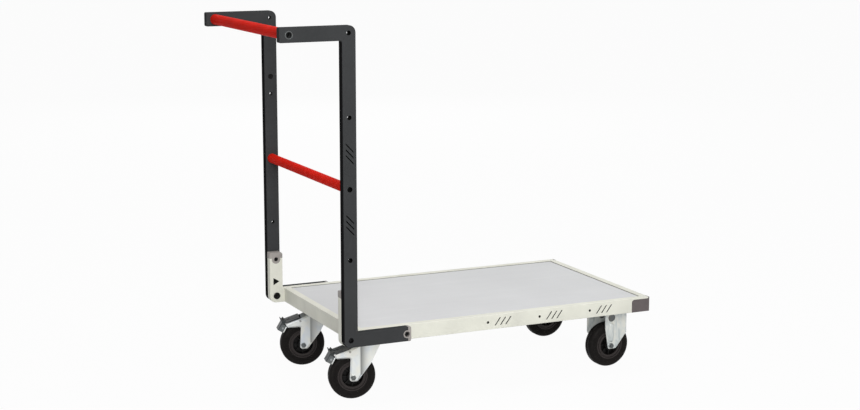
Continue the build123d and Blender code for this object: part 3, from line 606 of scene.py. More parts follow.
class Finish(Enum):
    """Every finish on the cart."""

    FRAME_PAINT = PowderCoat(
        "frame_paint", (227, 227, 215), (208, 207, 195),
        shade_bands=(REAR_SEAM_SHADE, FRONT_SEAM_SHADE, SIDE_SEAM_SHADE, RAIL_CUT_SHADE, RAIL_SLIT_SHADE, POST_CUT_SHADE),
    )
    BACK_PAINT = PowderCoat(
        "back_paint", (62, 63, 64), (74, 75, 76),
        shade_bands=(UPRIGHT_CUT_SHADE, UPRIGHT_SLIT_SHADE, UPRIGHT_REAR_SHADE), gloss=0.0, rub=0.25, sheen=(0.55, 0.7),
    )
    BAR_PAINT = PowderCoat(
        "bar_paint", (212, 33, 20), (188, 27, 17),
        gloss=0.03, sheen=(0.55, 0.68), tone=0.05, peel_depth_mm=0.03,
    )
    BOARD = BoardFilm("deck_film", (211, 212, 213), (195, 196, 197), (219, 219, 220))
    ZINC = ZincPlate("bright_zinc", (212, 218, 224), (224, 226, 223), (228, 226, 217), metal=0.6)
    # Bright zinc with painted shade in the fork creases, read from the valley attribute
    CREASE_SHADED_ZINC = ZincPlate(
        "crease_shaded_zinc", (212, 218, 224), (224, 226, 223), (228, 226, 217),
        metal=0.6, grime_and_shade=0.60, valley="valley",
    )
    MID_ZINC = ZincPlate("mid_zinc", (132, 137, 141), (148, 150, 150), (158, 156, 149))
    DARK_ZINC = ZincPlate("dark_zinc", (60, 64, 67), (70, 73, 74), (78, 77, 73), sheen=(0.36, 0.52))
    DULL_ZINC = ZincPlate("dull_zinc", (88, 93, 95), (100, 103, 103), (108, 107, 103), sheen=(0.4, 0.55))
    # The fixed brackets' zinc: greyer than the forks' plating as painted shade, with clouds stretched into
    # upright streaks of painted reflection
    SHADED_ZINC = ZincPlate(
        "shaded_zinc", (182, 190, 190), (212, 216, 213), (230, 228, 218), metal=0.2, vertical_stretch=0.3
    )
    CORNER_PLASTIC = MouldedPlastic("corner_plastic", (98, 91, 91), (108, 101, 101))
    CAP_PLASTIC = MouldedPlastic("cap_plastic", (156, 151, 147), (168, 163, 159))
    CENTRE_PLASTIC = MouldedPlastic("wheel_plastic", (14, 13, 13), (24, 22, 22), gloss=0.15)
    RIM_PLASTIC = MouldedPlastic("rim_plastic", (46, 41, 40), (56, 51, 50), gloss=0.2, sheen=(0.36, 0.5))
    BUSH_PLASTIC = MouldedPlastic("bush_plastic", (14, 14, 15), (22, 22, 23), gloss=0.1)
    BLACK_STEEL = ZincPlate("black_steel", (11, 11, 12), (15, 15, 16), (20, 19, 18), metal=0.2, gloss=0.15)
    RUBBER = TyreRubber("tyre_rubber", (25, 23, 22), (48, 45, 43), gloss=0.08)


@dataclass
class FinishShelf:
    """Keeps one material for each finish, and puts them on pieces."""

    made: dict[Finish, bpy.types.Material] = field(default_factory=dict)

    def take(self, finish: Finish) -> bpy.types.Material:
        """Build a finish's material the first time it is asked for.

        Args:
            finish: The finish that is wanted.

        Returns:
            Its material.
        """
        if finish not in self.made:
            self.made[finish] = finish.value.material()
        return self.made[finish]

    def coat(self, finish: Finish, *nodes: str) -> None:
        """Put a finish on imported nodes.

        Args:
            finish: The finish to use.
            nodes: Names of the nodes.
        """
        for node in nodes:
            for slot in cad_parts[node].material_slots:
                slot.material = self.take(finish)
        log.info("coated %s: %s", finish.name.lower(), ", ".join(nodes))

    def hand_over(self, piece: bpy.types.Object, body: str, slot: str, finish: Finish, *nodes: str) -> None:
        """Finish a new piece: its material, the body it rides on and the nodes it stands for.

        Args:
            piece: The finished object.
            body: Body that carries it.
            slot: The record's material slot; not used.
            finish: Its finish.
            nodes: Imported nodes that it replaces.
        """
        piece.data.materials.clear()
        piece.data.materials.append(self.take(finish))
        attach(piece, body)
        if nodes:
            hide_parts(*nodes)
        log.info("made %s on %s, %d faces", piece.name, body, len(piece.data.polygons))


class Bench:
    """One new piece while it is shaped by hand."""

    lie_across = (math.pi / 2, 0, 0)

    def __init__(self, name: str) -> None:
        """Name the piece that will be shaped.

        Args:
            name: The piece's name.
        """
        self.name = name
        self.piece: bpy.types.Object | None = None

    @staticmethod
    def clear() -> None:
        """Go back to object mode and deselect everything."""
        if bpy.context.mode != "OBJECT":
            bpy.ops.object.mode_set(mode="OBJECT")
        bpy.ops.object.select_all(action="DESELECT")

    def adopt(self) -> "Bench":
        """Name the primitive that was just added, and keep its place in its mesh.

        Returns:
            The bench itself.
        """
        self.piece = bpy.context.object
        self.piece.name = self.name
        self.piece.data.name = self.name
        bpy.ops.object.transform_apply(location=True, rotation=True, scale=True)
        return self

    def take(self) -> None:
        """Make the piece the only one that is selected."""
        self.clear()
        self.piece.select_set(True)
        bpy.context.view_layer.objects.active = self.piece

    @contextmanager
    def editing(self) -> Iterator[None]:
        """Shape the piece alone in edit mode, and go back to object mode at the end.

        Returns:
            The context of a with block.
        """
        self.take()
        bpy.ops.object.mode_set(mode="EDIT")
        yield
        bpy.ops.object.mode_set(mode="OBJECT")

    def cylinder(self, radius: float, low: float, high: float, sides: int = 48) -> "Bench":
        """Start from a cylinder that lies along Y.

        Args:
            radius: Its radius.
            low: Y of its first end.
            high: Y of its second end.
            sides: Number of its flat sides.

        Returns:
            The bench itself.
        """
        self.clear()
        middle = (0, (low + high) / 2, 0)
        bpy.ops.mesh.primitive_cylinder_add(
            vertices=sides, radius=radius, depth=high - low, location=middle, rotation=self.lie_across
        )
        return self.adopt()

    def block(self, size: Triple) -> "Bench":
        """Start from a block round the origin.

        Args:
            size: Its edge lengths.

        Returns:
            The bench itself.
        """
        self.clear()
        bpy.ops.mesh.primitive_cube_add(size=1, location=(0, 0, 0), scale=size)
        return self.adopt()

    def point(self) -> "Bench":
        """Start from a tiny plane at the origin, which becomes the first corner of a line.

        Returns:
            The bench itself.
        """
        self.clear()
        bpy.ops.mesh.primitive_plane_add(size=MM, location=(0, 0, 0))
        return self.adopt()

    def pick(self, test: Callable[[Vector, Vector], bool]) -> None:
        """Select, in edit mode, the faces that pass a test.

        Args:
            test: Takes a face's centre and normal, and says whether to select it.
        """
        bpy.ops.mesh.select_mode(type="FACE")
        bpy.ops.mesh.select_all(action="DESELECT")
        mesh = bmesh.from_edit_mesh(self.piece.data)
        for face in mesh.faces:
            face.select_set(test(face.calc_center_median(), face.normal))
        bmesh.update_edit_mesh(self.piece.data)

    def step(self, y: float, inset: float, push: float, within: float = 1.0) -> "Bench":
        """Inset the end face and push it along Y, for a recess or a collar.

        Args:
            y: Y of the end face.
            inset: Width of the border that stays.
            push: How far the inner face moves along Y.
            within: Greatest distance of the face's centre from the axis.

        Returns:
            The bench itself.
        """

        def at_end(centre: Vector, normal: Vector) -> bool:
            """Say whether a face lies flat at the end, near the axis."""
            flat = abs(normal.y) > FLAT and abs(centre.y - y) < NEAR
            return flat and math.hypot(centre.x, centre.z) < within

        with self.editing():
            self.pick(at_end)
            bpy.ops.mesh.inset(thickness=inset, depth=0)
            bpy.ops.mesh.extrude_region_move(TRANSFORM_OT_translate={"value": (0, push, 0)})
        return self

    def ring(self, diameter: float, wall: float, low: float, high: float, sides: int = 48) -> "Bench":
        """Make a ring along Y: inset both ends of a cylinder and bridge the inner edges.

        Args:
            diameter: Its outer diameter.
            wall: Width of the ring.
            low: Y of the first end.
            high: Y of the second end.
            sides: Number of its flat sides.

        Returns:
            The bench itself.
        """
        self.cylinder(diameter / 2, low, high, sides)
        with self.editing():
            self.pick(lambda centre, normal: min(abs(centre.y - low), abs(centre.y - high)) < NEAR)
            bpy.ops.mesh.inset(thickness=wall, depth=0)
            bpy.ops.mesh.bridge_edge_loops()
        return self

    def socket(self, y: float, across_flats: float, depth: float) -> "Bench":
        """Cut a six-sided key socket into the end of the piece.

        Args:
            y: Y of the end.
            across_flats: Width of the socket.
            depth: Depth of the socket.

        Returns:
            The bench itself.
        """
        cutter = Bench(f"{self.name}_key")
        cutter.cylinder(across_flats / math.sqrt(3), y - depth, y + depth, sides=6)
        self.take()
        cut = self.piece.modifiers.new("key_socket", "BOOLEAN")
        cut.operation = "DIFFERENCE"
        cut.object = cutter.piece
        bpy.ops.object.modifier_apply(modifier=cut.name)
        bpy.data.objects.remove(cutter.piece, do_unlink=True)
        return self

    @staticmethod
    def trace(points: Sequence[Vector]) -> None:
        """Draw a closed line, in edit mode, by extruding a corner from point to point.

        Args:
            points: Corners of the line, the first one not repeated.
        """
        bpy.ops.mesh.select_mode(type="VERT")
        bpy.ops.mesh.select_all(action="SELECT")
        bpy.ops.mesh.merge(type="CENTER")
        bpy.ops.transform.translate(value=points[0])
        for last, point in zip(points, [*points[1:], points[0]]):
            bpy.ops.mesh.extrude_vertices_move(TRANSFORM_OT_translate={"value": point - last})
        bpy.ops.mesh.select_all(action="SELECT")
        bpy.ops.mesh.remove_doubles(threshold=WELD)

    @staticmethod
    def turn_faces_out() -> None:
        """Turn all faces outwards, in edit mode."""
        bpy.ops.mesh.select_all(action="SELECT")
        bpy.ops.mesh.normals_make_consistent(inside=False)

    def strip(self, points: Sequence[Span], low: float, high: float) -> "Bench":
        """Draw a closed section of (x, y) points and pull it up along Z.

        Args:
            points: Corners of the section.
            low: Z of its lower end.
            high: Z of its upper end.

        Returns:
            The bench itself.
        """
        with self.point().editing():
            self.trace([Vector((x, y, low)) for x, y in points])
            bpy.ops.mesh.edge_face_add()
            bpy.ops.mesh.extrude_region_move(TRANSFORM_OT_translate={"value": (0, 0, high - low)})
            self.turn_faces_out()
        return self

    def profile(self, points: Sequence[Span], steps: int) -> "Bench":
        """Draw a closed profile of (y, radius) points and spin it about Y.

        Args:
            points: Corners of the profile, the first one not repeated.
            steps: Number of steps of the spin.

        Returns:
            The bench itself.
        """
        with self.point().editing():
            self.trace([Vector((0, y, radius)) for y, radius in points])
            bpy.ops.mesh.spin(steps=steps, angle=FULL_TURN, center=(0, 0, 0), axis=(0, 1, 0))
            bpy.ops.mesh.select_all(action="SELECT")
            bpy.ops.mesh.remove_doubles(threshold=WELD)
            self.turn_faces_out()
        return self.smooth(SMOOTH_ANGLE)

    def trim(self, point: Vector, normal: Vector) -> "Bench":
        """Cut away what lies on the side of a plane that its normal shows.

        Args:
            point: A point of the plane.
            normal: The plane's normal.

        Returns:
            The bench itself.
        """
        with self.editing():
            bpy.ops.mesh.select_all(action="SELECT")
            bpy.ops.mesh.bisect(plane_co=point, plane_no=normal, use_fill=True, clear_outer=True)
        return self

    def mirror_copy(self) -> "Bench":
        """Add the piece's mirror image on the other side of the plane Y = 0.

        Returns:
            The bench itself.
        """
        with self.editing():
            bpy.ops.mesh.select_all(action="SELECT")
            bpy.ops.mesh.duplicate()
            bpy.ops.transform.resize(value=(1, -1, 1), center_override=(0, 0, 0))
            self.turn_faces_out()
        return self

    def smooth(self, angle: float) -> "Bench":
        """Shade the piece smooth, apart from edges sharper than an angle in degrees.

        Args:
            angle: The angle.

        Returns:
            The bench itself.
        """
        self.take()
        bpy.ops.object.shade_smooth_by_angle(angle=math.radians(angle))
        return self

    def soften(self, width: float, segments: int = 2, angle: float = 40.0) -> "Bench":
        """Round the sharp edges and shade the rest smooth.

        Args:
            width: Width of the rounding.
            segments: Number of facets across it.
            angle: Edges sharper than this many degrees are rounded.

        Returns:
            The bench itself.
        """
        self.take()
        bevel = self.piece.modifiers.new("edge_round", "BEVEL")
        bevel.width = width
        bevel.segments = segments
        bevel.limit_method = "ANGLE"
        bevel.angle_limit = math.radians(angle)
        bpy.ops.object.modifier_apply(modifier=bevel.name)
        return self.smooth(angle)

    def set_out(self, places: Sequence[Matrix]) -> bpy.types.Object:
        """Copy the piece to its places, join the copies and leave the object at the origin.

        Args:
            places: Where each copy goes.

        Returns:
            The finished object.
        """
        copies = []
        for place in places[1:]:
            copy = self.piece.copy()
            copy.data = self.piece.data.copy()
            bpy.context.collection.objects.link(copy)
            copy.matrix_world = place
            copies.append(copy)
        self.piece.matrix_world = places[0]
        self.take()
        for copy in copies:
            copy.select_set(True)
        bpy.ops.object.transform_apply(location=True, rotation=True, scale=True)
        if copies:
            bpy.ops.object.join()
        return self.piece


def standing(x: float, y: float, z: float, turn: float = 0.0) -> Matrix:
    """Say where a piece is that is moved and then turned about the upright axis."""
    return Matrix.Translation((x, y, z)) @ Matrix.Rotation(turn, 4, "Z")


def facing_out(side: Side, x: float, y: float, z: float) -> Matrix:
    """Place a piece, modelled along +Y, at a distance y from the middle plane, facing away from it."""
    return standing(x, side.value * y, z, 0.0 if side is Side.LEFT else math.pi)


def facing_in(side: Side, x: float, y: float, z: float) -> Matrix:
    """Place a piece, modelled along +Y, at a distance y from the middle plane, facing that plane."""
    return facing_out(side, x, y, z) @ TURNED_ROUND


def both_sides(
    facing: Callable[[Side, float, float, float], Matrix], x: float, y: float, *heights: float
) -> list[Matrix]:
    """List the places of a piece that both sides of the cart have, at one or more heights."""
    return [facing(side, x, y, z) for side in Side for z in heights]


@dataclass(frozen=True)
class CapScrew:
    """A socket screw sunk in the recess of an end cap, and the ring round that recess."""

    head: float = 0.010
    head_height: float = 0.004
    shank: float = 0.006
    sides: int = 32
    recess_depth: float = 0.006
    key: float = 0.0048
    key_depth: float = 0.0024
    edge: float = 0.0004
    collar: float = 0.0152
    collar_wall: float = 0.0016
    collar_height: float = 0.0006
    collar_edge: float = 0.00025

    def screw(self, name: str, reach: float) -> Bench:
        """Model the screw along Y, with the top of its head at the origin.

        Args:
            name: The piece's name.
            reach: Length of the shank.

        Returns:
            The bench with the screw.
        """
        low = -self.head_height
        bench = Bench(name).cylinder(self.head / 2, low, 0, self.sides)
        bench.step(low, (self.head - self.shank) / 2, -reach)
        return bench.socket(0, self.key, self.key_depth).soften(self.edge)

    def ring(self, name: str, low: float) -> Bench:
        """Model the ring along Y, with its first end at a given place."""
        bench = Bench(name).ring(self.collar, self.collar_wall, low, low + self.collar_height)
        return bench.soften(self.collar_edge)


@dataclass
class Deck:
    """Frame, panel and posts, with the fittings that show on the posts."""

    shelf: FinishShelf
    cap_screw: CapScrew = CapScrew()
    post_x: float = PIVOT_X
    post_inner: float = 0.255
    post_width: float = 0.020
    screw_z: float = 0.295
    pivot_z: float = PIVOT_Z
    bolt: float = 0.010
    bolt_end: float = 0.291
    bolt_key: float = 0.006
    bolt_key_depth: float = 0.0036
    head: float = 0.019
    head_height: float = 0.006
    head_sides: int = 40
    head_round: float = 0.0018
    head_facets: int = 4

    def dress(self) -> None:
        """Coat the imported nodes."""
        rails = ("left_side_rail", "right_side_rail", "front_rail", "rear_rail")
        members = ("rear_cross_member", "middle_cross_member", "front_cross_member")
        self.shelf.coat(Finish.FRAME_PAINT, *rails, *members)
        self.shelf.coat(Finish.BOARD, "deck_panel")
        self.shelf.coat(Finish.CORNER_PLASTIC, "left_corner_cap", "right_corner_cap")
        self.shelf.coat(Finish.CAP_PLASTIC, "left_post_cap", "right_post_cap")
        self.shelf.coat(Finish.ZINC, "caster_bolts")
        self.shelf.coat(Finish.BLACK_STEEL, "post_cap_screws", "pivot_bolts")

    def build_post_screws(self) -> None:
        """Model the socket screws of the post caps."""
        recess = self.cap_screw.recess_depth
        bench = self.cap_screw.screw("post_socket_screws", self.post_width - recess)
        top = self.post_inner + recess - self.cap_screw.head_height
        piece = bench.set_out(both_sides(facing_in, self.post_x, top, self.screw_z))
        self.shelf.hand_over(piece, "deck", "black_steel", Finish.BLACK_STEEL, "post_cap_screws")

    def build_pivot_bolts(self) -> None:
        """Model the button-headed pivot bolts."""
        low = -self.head_height
        bench = Bench("pivot_button_bolts").cylinder(self.head / 2, low, 0, self.head_sides)
        bench.step(low, (self.head - self.bolt) / 2, self.post_inner - self.bolt_end)
        bench.socket(0, self.bolt_key, self.bolt_key_depth).soften(self.head_round, self.head_facets)
        top = self.post_inner - self.head_height
        piece = bench.set_out(both_sides(facing_in, self.post_x, top, self.pivot_z))
        self.shelf.hand_over(piece, "deck", "black_steel", Finish.BLACK_STEEL, "pivot_bolts")

    def build_collars(self) -> None:
        """Model the raised rings round the screw recesses of the post caps."""
        bench = self.cap_screw.ring("post_cap_collars", 0)
        piece = bench.set_out(both_sides(facing_in, self.post_x, self.post_inner, self.screw_z))
        self.shelf.hand_over(piece, "deck", "cap_plastic", Finish.CAP_PLASTIC)

    def build(self) -> None:
        """Model all fittings of the posts."""
        self.build_post_screws()
        self.build_pivot_bolts()
        self.build_collars()


@dataclass
class HandleBack:
    """Uprights, arms and bars, with the fittings that show on them."""

    shelf: FinishShelf
    cap_screw: CapScrew = CapScrew()
    upright_x: float = PIVOT_X
    grip_x: float = -0.518
    arm_z: float = 0.974
    foot_screw_x: float = -0.204
    pivot_z: float = PIVOT_Z
    inner: float = 0.276
    outer: float = 0.296
    rail_tip: float = 0.268
    ferrule: float = 0.020
    ferrule_wall: float = 0.0014
    ferrule_sink: float = 0.0008
    ferrule_rise: float = 0.0005
    ferrule_edge: float = 0.0003
    plug: float = 0.014
    plug_rise: float = 0.0008
    plug_rim: float = 0.0014
    plug_dish: float = 0.0005
    plug_zs: tuple[float, ...] = (0.811,)
    # Dark rings in the small holes of the inner walls: painted shade where the holes show only shade
    shade_ring: float = 0.0099
    shade_ring_wall: float = 0.0010
    shade_ring_depth: float = 0.0020
    shade_ring_rise: float = 0.0004
    shade_ring_zs: tuple[float, ...] = (0.974, 0.763, 0.399)
    small_edge: float = 0.0002
    small_sides: int = 40

    def dress(self) -> None:
        """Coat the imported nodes."""
        self.shelf.coat(Finish.BACK_PAINT, "left_upright", "right_upright")
        self.shelf.coat(Finish.BAR_PAINT, "handle_bar", "cross_bar")
        self.shelf.coat(Finish.CAP_PLASTIC, "left_foot_cap", "right_foot_cap")
        self.shelf.coat(Finish.BLACK_STEEL, "lock_screws", "bar_screws")
        self.shelf.coat(Finish.BUSH_PLASTIC, "pivot_bushes")
        self.shelf.coat(Finish.ZINC, "bar_inserts")

    def build_lock_screws(self) -> None:
        """Model the socket screws that hold the feet."""
        seat = self.outer - self.cap_screw.recess_depth
        bench = self.cap_screw.screw("foot_socket_screws", seat - self.rail_tip)
        top = seat + self.cap_screw.head_height
        piece = bench.set_out(both_sides(facing_out, self.foot_screw_x, top, self.pivot_z))
        self.shelf.hand_over(piece, "back", "black_steel", Finish.BLACK_STEEL, "lock_screws")

    def build_collars(self) -> None:
        """Model the rings round the screw recesses of the foot caps."""
        bench = self.cap_screw.ring("foot_cap_collars", -self.cap_screw.collar_height)
        piece = bench.set_out(both_sides(facing_out, self.foot_screw_x, self.outer, self.pivot_z))
        self.shelf.hand_over(piece, "back", "cap_plastic", Finish.CAP_PLASTIC)

    def build_ferrules(self) -> None:
        """Model the turned rings round the mouths of the handle bar's screw holes."""
        bench = Bench("bar_ferrules")
        bench.ring(self.ferrule, self.ferrule_wall, -self.ferrule_sink, self.ferrule_rise)
        bench.soften(self.ferrule_edge)
        piece = bench.set_out(both_sides(facing_out, self.grip_x, self.outer, self.arm_z))
        self.shelf.hand_over(piece, "back", "zinc", Finish.DULL_ZINC)

    def build_plugs(self) -> None:
        """Model the round plugs on the inner faces of the uprights."""
        bench = Bench("upright_plugs").cylinder(self.plug / 2, 0, self.plug_rise, self.small_sides)
        bench.step(self.plug_rise, self.plug_rim, -self.plug_dish).soften(self.small_edge)
        piece = bench.set_out(both_sides(facing_in, self.upright_x, self.inner, *self.plug_zs))
        self.shelf.hand_over(piece, "back", "bush_plastic", Finish.BUSH_PLASTIC)

    def build_hole_shades(self) -> None:
        """Model dark rings in the small holes of the uprights' inner walls, which are painted shade where
        the holes show only shade.
        """
        bench = Bench("hole_shade_rings")
        bench.ring(self.shade_ring, self.shade_ring_wall, -self.shade_ring_depth, self.shade_ring_rise, self.small_sides)
        bench.soften(self.small_edge)
        piece = bench.set_out(both_sides(facing_in, self.upright_x, self.inner, *self.shade_ring_zs))
        self.shelf.hand_over(piece, "back", "bush_plastic", Finish.BUSH_PLASTIC)

    def build(self) -> None:
        """Model all fittings of the handle back."""
        self.build_lock_screws()
        self.build_collars()
        self.build_ferrules()
        self.build_plugs()
        self.build_hole_shades()


@dataclass
class Wheel:
    """One wheel: the spun tyre and the rim rings over its packed centre and bush."""

    shelf: FinishShelf
    name: str
    place: Matrix
    radius: float = 0.0625
    half_width: float = 0.018
    half_rim: float = 0.015
    bore: float = 0.040
    lip: float = 0.036
    lip_depth: float = 0.0016
    lip_ease: float = 0.0004
    lip_round: float = 0.0012
    lip_run: float = 0.0045
    ribs: tuple[float, ...] = (0.0432, 0.0470, 0.0508)
    rib_crest: float = 0.0007
    rib_foot: float = 0.0013
    rib_rise: float = 0.0007
    shoulder: float = 0.010
    shoulder_facets: int = 7
    seam_mouth: float = 0.0008
    seam_floor: float = 0.0003
    seam_depth: float = 0.0003
    rim_inner: float = 0.0284
    rim_flange: float = 0.0058
    rim_groove: float = 0.0024
    rim_bead: float = 0.0036
    rim_root: float = 0.0145
    rim_face: float = 0.0179
    rim_depth: float = 0.0024
    rim_ease: float = 0.0005
    steps: int = 96

    def half_profile(self) -> list[Span]:
        """Work out one half of the tyre's section, from the bore to the mould seam on the crown.

        Returns:
            Points as (y, radius).
        """
        wall = self.half_width - self.rib_rise
        points = [(self.half_rim, self.bore), (self.half_rim, self.lip), (wall - self.lip_depth, self.lip)]
        points += [(wall - self.lip_ease, self.lip + self.lip_round), (wall, self.lip + self.lip_run)]
        for rib in self.ribs:
            points += [(wall, rib - self.rib_foot), (self.half_width, rib - self.rib_crest)]
            points += [(self.half_width, rib + self.rib_crest), (wall, rib + self.rib_foot)]
        for i in range(self.shoulder_facets + 1):
            angle = math.pi / 2 * i / self.shoulder_facets
            y = wall - self.shoulder * (1 - math.cos(angle))
            points.append((y, self.radius - self.shoulder * (1 - math.sin(angle))))
        return points + [(self.seam_mouth, self.radius), (self.seam_floor, self.radius - self.seam_depth)]

    def rim_profile(self) -> list[Span]:
        """Work out the section of one rim ring: a flat flange, a groove and a narrow bead.

        Returns:
            Points as (y, radius).
        """
        ease = self.rim_ease
        floor = self.rim_face - self.rim_depth
        points = [(self.rim_root, self.rim_inner)]
        low = self.rim_inner
        for width in (self.rim_flange, self.rim_bead):
            high = low + width
            points += [(self.rim_face - ease, low), (self.rim_face, low + ease)]
            points += [(self.rim_face, high - ease), (self.rim_face - ease, high)]
            points += [(floor, high), (floor, high + self.rim_groove)]
            low = high + self.rim_groove
        return points[:-2] + [(self.rim_root, high)]

    def dress(self) -> None:
        """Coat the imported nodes."""
        self.shelf.coat(Finish.RUBBER, f"{self.name}_tyre")
        self.shelf.coat(Finish.CENTRE_PLASTIC, f"{self.name}_wheel_centre")
        self.shelf.coat(Finish.BUSH_PLASTIC, f"{self.name}_bush")

    def build(self) -> None:
        """Model the tyre, and the rings of the wheel centre that show on both sides of it."""
        body = f"{self.name}_wheel"
        half = self.half_profile()
        other = [(-y, radius) for y, radius in reversed(half)]
        tyre = Bench(f"{self.name}_solid_tyre").profile(half + other, self.steps)
        piece = tyre.set_out([self.place])
        self.shelf.hand_over(piece, body, "tyre_rubber", Finish.RUBBER, f"{self.name}_tyre")
        rims = Bench(f"{self.name}_rim_rings").profile(self.rim_profile(), self.steps)
        piece = rims.set_out([self.place, self.place @ TURNED_ROUND])
        self.shelf.hand_over(piece, body, "centre_plastic", Finish.RIM_PLASTIC)


@dataclass
class AxleEnds:
    """The collars of the lock nuts at both ends of an axle."""

    shelf: FinishShelf
    name: str
    body: str
    place: Matrix
    reach: float
    radius: float = 0.0056
    height: float = 0.0022
    sides: int = 36
    thread: float = 0.0040
    thread_rise: float = 0.0012
    gap: float = 0.0004
    hollow: float = 0.0008
    edge: float = 0.00025

    def build(self) -> None:
        """Model the collars with the thread ends inside them."""
        bench = Bench(f"{self.name}_nut_collars").cylinder(self.radius, 0, self.height, self.sides)
        bench.step(self.height, self.radius - self.thread - self.gap, -self.hollow)
        bench.step(self.height - self.hollow, self.gap, self.thread_rise, within=self.thread)
        bench.soften(self.edge)
        out = Matrix.Translation((0, self.reach, 0))
        piece = bench.set_out([self.place @ out, self.place @ TURNED_ROUND @ out])
        self.shelf.hand_over(piece, self.body, "zinc", Finish.DULL_ZINC)


@dataclass
class ForkCreases:
    """The rounded valleys where the raised legs of one fork run into its cheeks, with painted shade along
    them.
    """

    shelf: FinishShelf
    side: Side
    fork: Matrix
    leg_edge: float = -0.022
    leg_slope: float = 0.0038
    leg_face: float = 0.0285
    cheek_face: float = 0.024
    width: float = 0.0260
    sink: float = 0.0002
    skin: float = 0.0001
    low: float = 0.068
    high: float = 0.1478
    cheek_tip: Triple = (-0.032, 0, 0.0505)
    cheek_knee: Triple = (0.005, 0, 0.0985)
    margin: float = 0.0012
    facets: int = 20
    hollow: float = 5.0
    # Where the painted shade across the valley is darkest, and how fast it fades
    darkest: float = 0.10
    fade: float = 1.7

    @property
    def start(self) -> float:
        """X where the valley leaves the leg's face."""
        return self.leg_edge - self.leg_slope

    @property
    def run(self) -> float:
        """Length of the valley along X."""
        return self.leg_slope + self.width

    def section(self) -> list[Span]:
        """Work out the valley's section: a hollow that runs out from the leg's face over the cheek.

        Returns:
            Points as (x, y).
        """
        floor = self.cheek_face + self.skin
        points = []
        for i in range(self.facets + 1):
            share = i / self.facets
            height = (self.leg_face - floor) * (1 - share) ** self.hollow
            points.append((self.start + share * self.run, floor + height))
        under = self.cheek_face - self.sink
        points += [(points[-1][0], under), (self.leg_edge - self.sink, under)]
        return points + [(self.start, self.leg_face - self.sink)]

    def mark_depth(self, mesh: bpy.types.Mesh) -> None:
        """Store how deep in the valley each point lies, for the painted shade that darkens it there.

        Args:
            mesh: The valley's mesh.
        """
        depth = mesh.attributes.new(Finish.CREASE_SHADED_ZINC.value.valley, "FLOAT", "POINT")
        for point in mesh.vertices:
            share = min(1.0, max(0.0, (point.co.x - self.start) / self.run))
            rise = min(1.0, share / self.darkest)
            fall = min(1.0, (1 - share) / (1 - self.darkest))
            depth.data[point.index].value = rise * fall**self.fade

    def build(self) -> None:
        """Model the valleys on both cheeks of the fork."""
        bench = Bench(f"{self.side.word}_fork_creases").strip(self.section(), self.low, self.high)
        knee = Vector(self.cheek_knee)
        slope = knee - Vector(self.cheek_tip)
        outwards = Vector((slope.z, 0, -slope.x)).normalized()
        bench.trim(knee - self.margin * outwards, outwards).smooth(SMOOTH_ANGLE)
        self.mark_depth(bench.piece.data)
        piece = bench.mirror_copy().set_out([self.fork])
        self.shelf.hand_over(piece, f"{self.side.word}_caster", "zinc", Finish.CREASE_SHADED_ZINC)


@dataclass
class ShoeHighlightsAndRivets:
    """Bright strips along the edges of one brake shoe, which are painted highlight, and the rivets on it."""

    shelf: FinishShelf
    side: Side
    axle: Matrix
    angle: float = math.radians(150.0)
    face: float = 0.0635
    depth: float = 0.017
    length: float = 0.021
    half_width: float = 0.015
    shift: float = 0.013
    # Bright strips on the shoe's flanks: painted highlight along its edges
    lining: float = 0.0026
    lining_rise: float = 0.0004
    lining_inset: float = 0.00182
    lining_edge: float = 0.0002
    rivet: float = 0.0062
    rivet_rise: float = 0.0009
    rivet_round: float = 0.00063
    rivet_sides: int = 32
    rivet_facets: int = 4

    def build(self) -> None:
        """Model the painted highlight strips and the rivets on both sides of the shoe."""
        body = f"{self.side.word}_pedal"
        shoe = self.axle @ Matrix.Rotation(-self.angle, 4, "Y")
        shoe @= Matrix.Translation((self.face, 0, -self.shift))
        # Painted highlight: bright zinc strips along the shoe's edges
        edge = Bench(f"{self.side.word}_shoe_linings")
        edge.block((self.lining, 2 * self.lining_rise, self.length - self.lining)).soften(self.lining_edge)
        flanks = (-self.half_width, self.half_width)
        piece = edge.set_out([shoe @ Matrix.Translation((self.lining_inset, y, 0)) for y in flanks])
        self.shelf.hand_over(piece, body, "zinc", Finish.ZINC)
        head = Bench(f"{self.side.word}_shoe_rivets")
        head.cylinder(self.rivet / 2, 0, self.rivet_rise, self.rivet_sides)
        head.soften(self.rivet_round, self.rivet_facets)
        middle = Matrix.Translation((self.depth / 2, self.half_width, 0))
        piece = head.set_out([shoe @ middle, shoe @ Matrix.Rotation(math.pi, 4, "X") @ middle])
        self.shelf.hand_over(piece, body, "zinc", Finish.MID_ZINC)


@dataclass
class WindowDiscs:
    """Dished discs in the round windows of the fixed brackets: a dark part in each outer leg, and painted
    shade in each inner leg, where the window shows only shade.
    """

    shelf: FinishShelf
    places: Sequence[Matrix]
    radius: float = 0.0109
    thickness: float = 0.002
    rim: float = 0.0016
    dish: float = 0.0009
    edge: float = 0.00025

    def build(self) -> None:
        """Model the discs."""
        bench = Bench("bracket_window_discs").cylinder(self.radius, -self.thickness, 0)
        bench.step(0, self.rim, -self.dish).soften(self.edge)
        self.shelf.hand_over(bench.set_out(self.places), "deck", "zinc", Finish.DULL_ZINC)


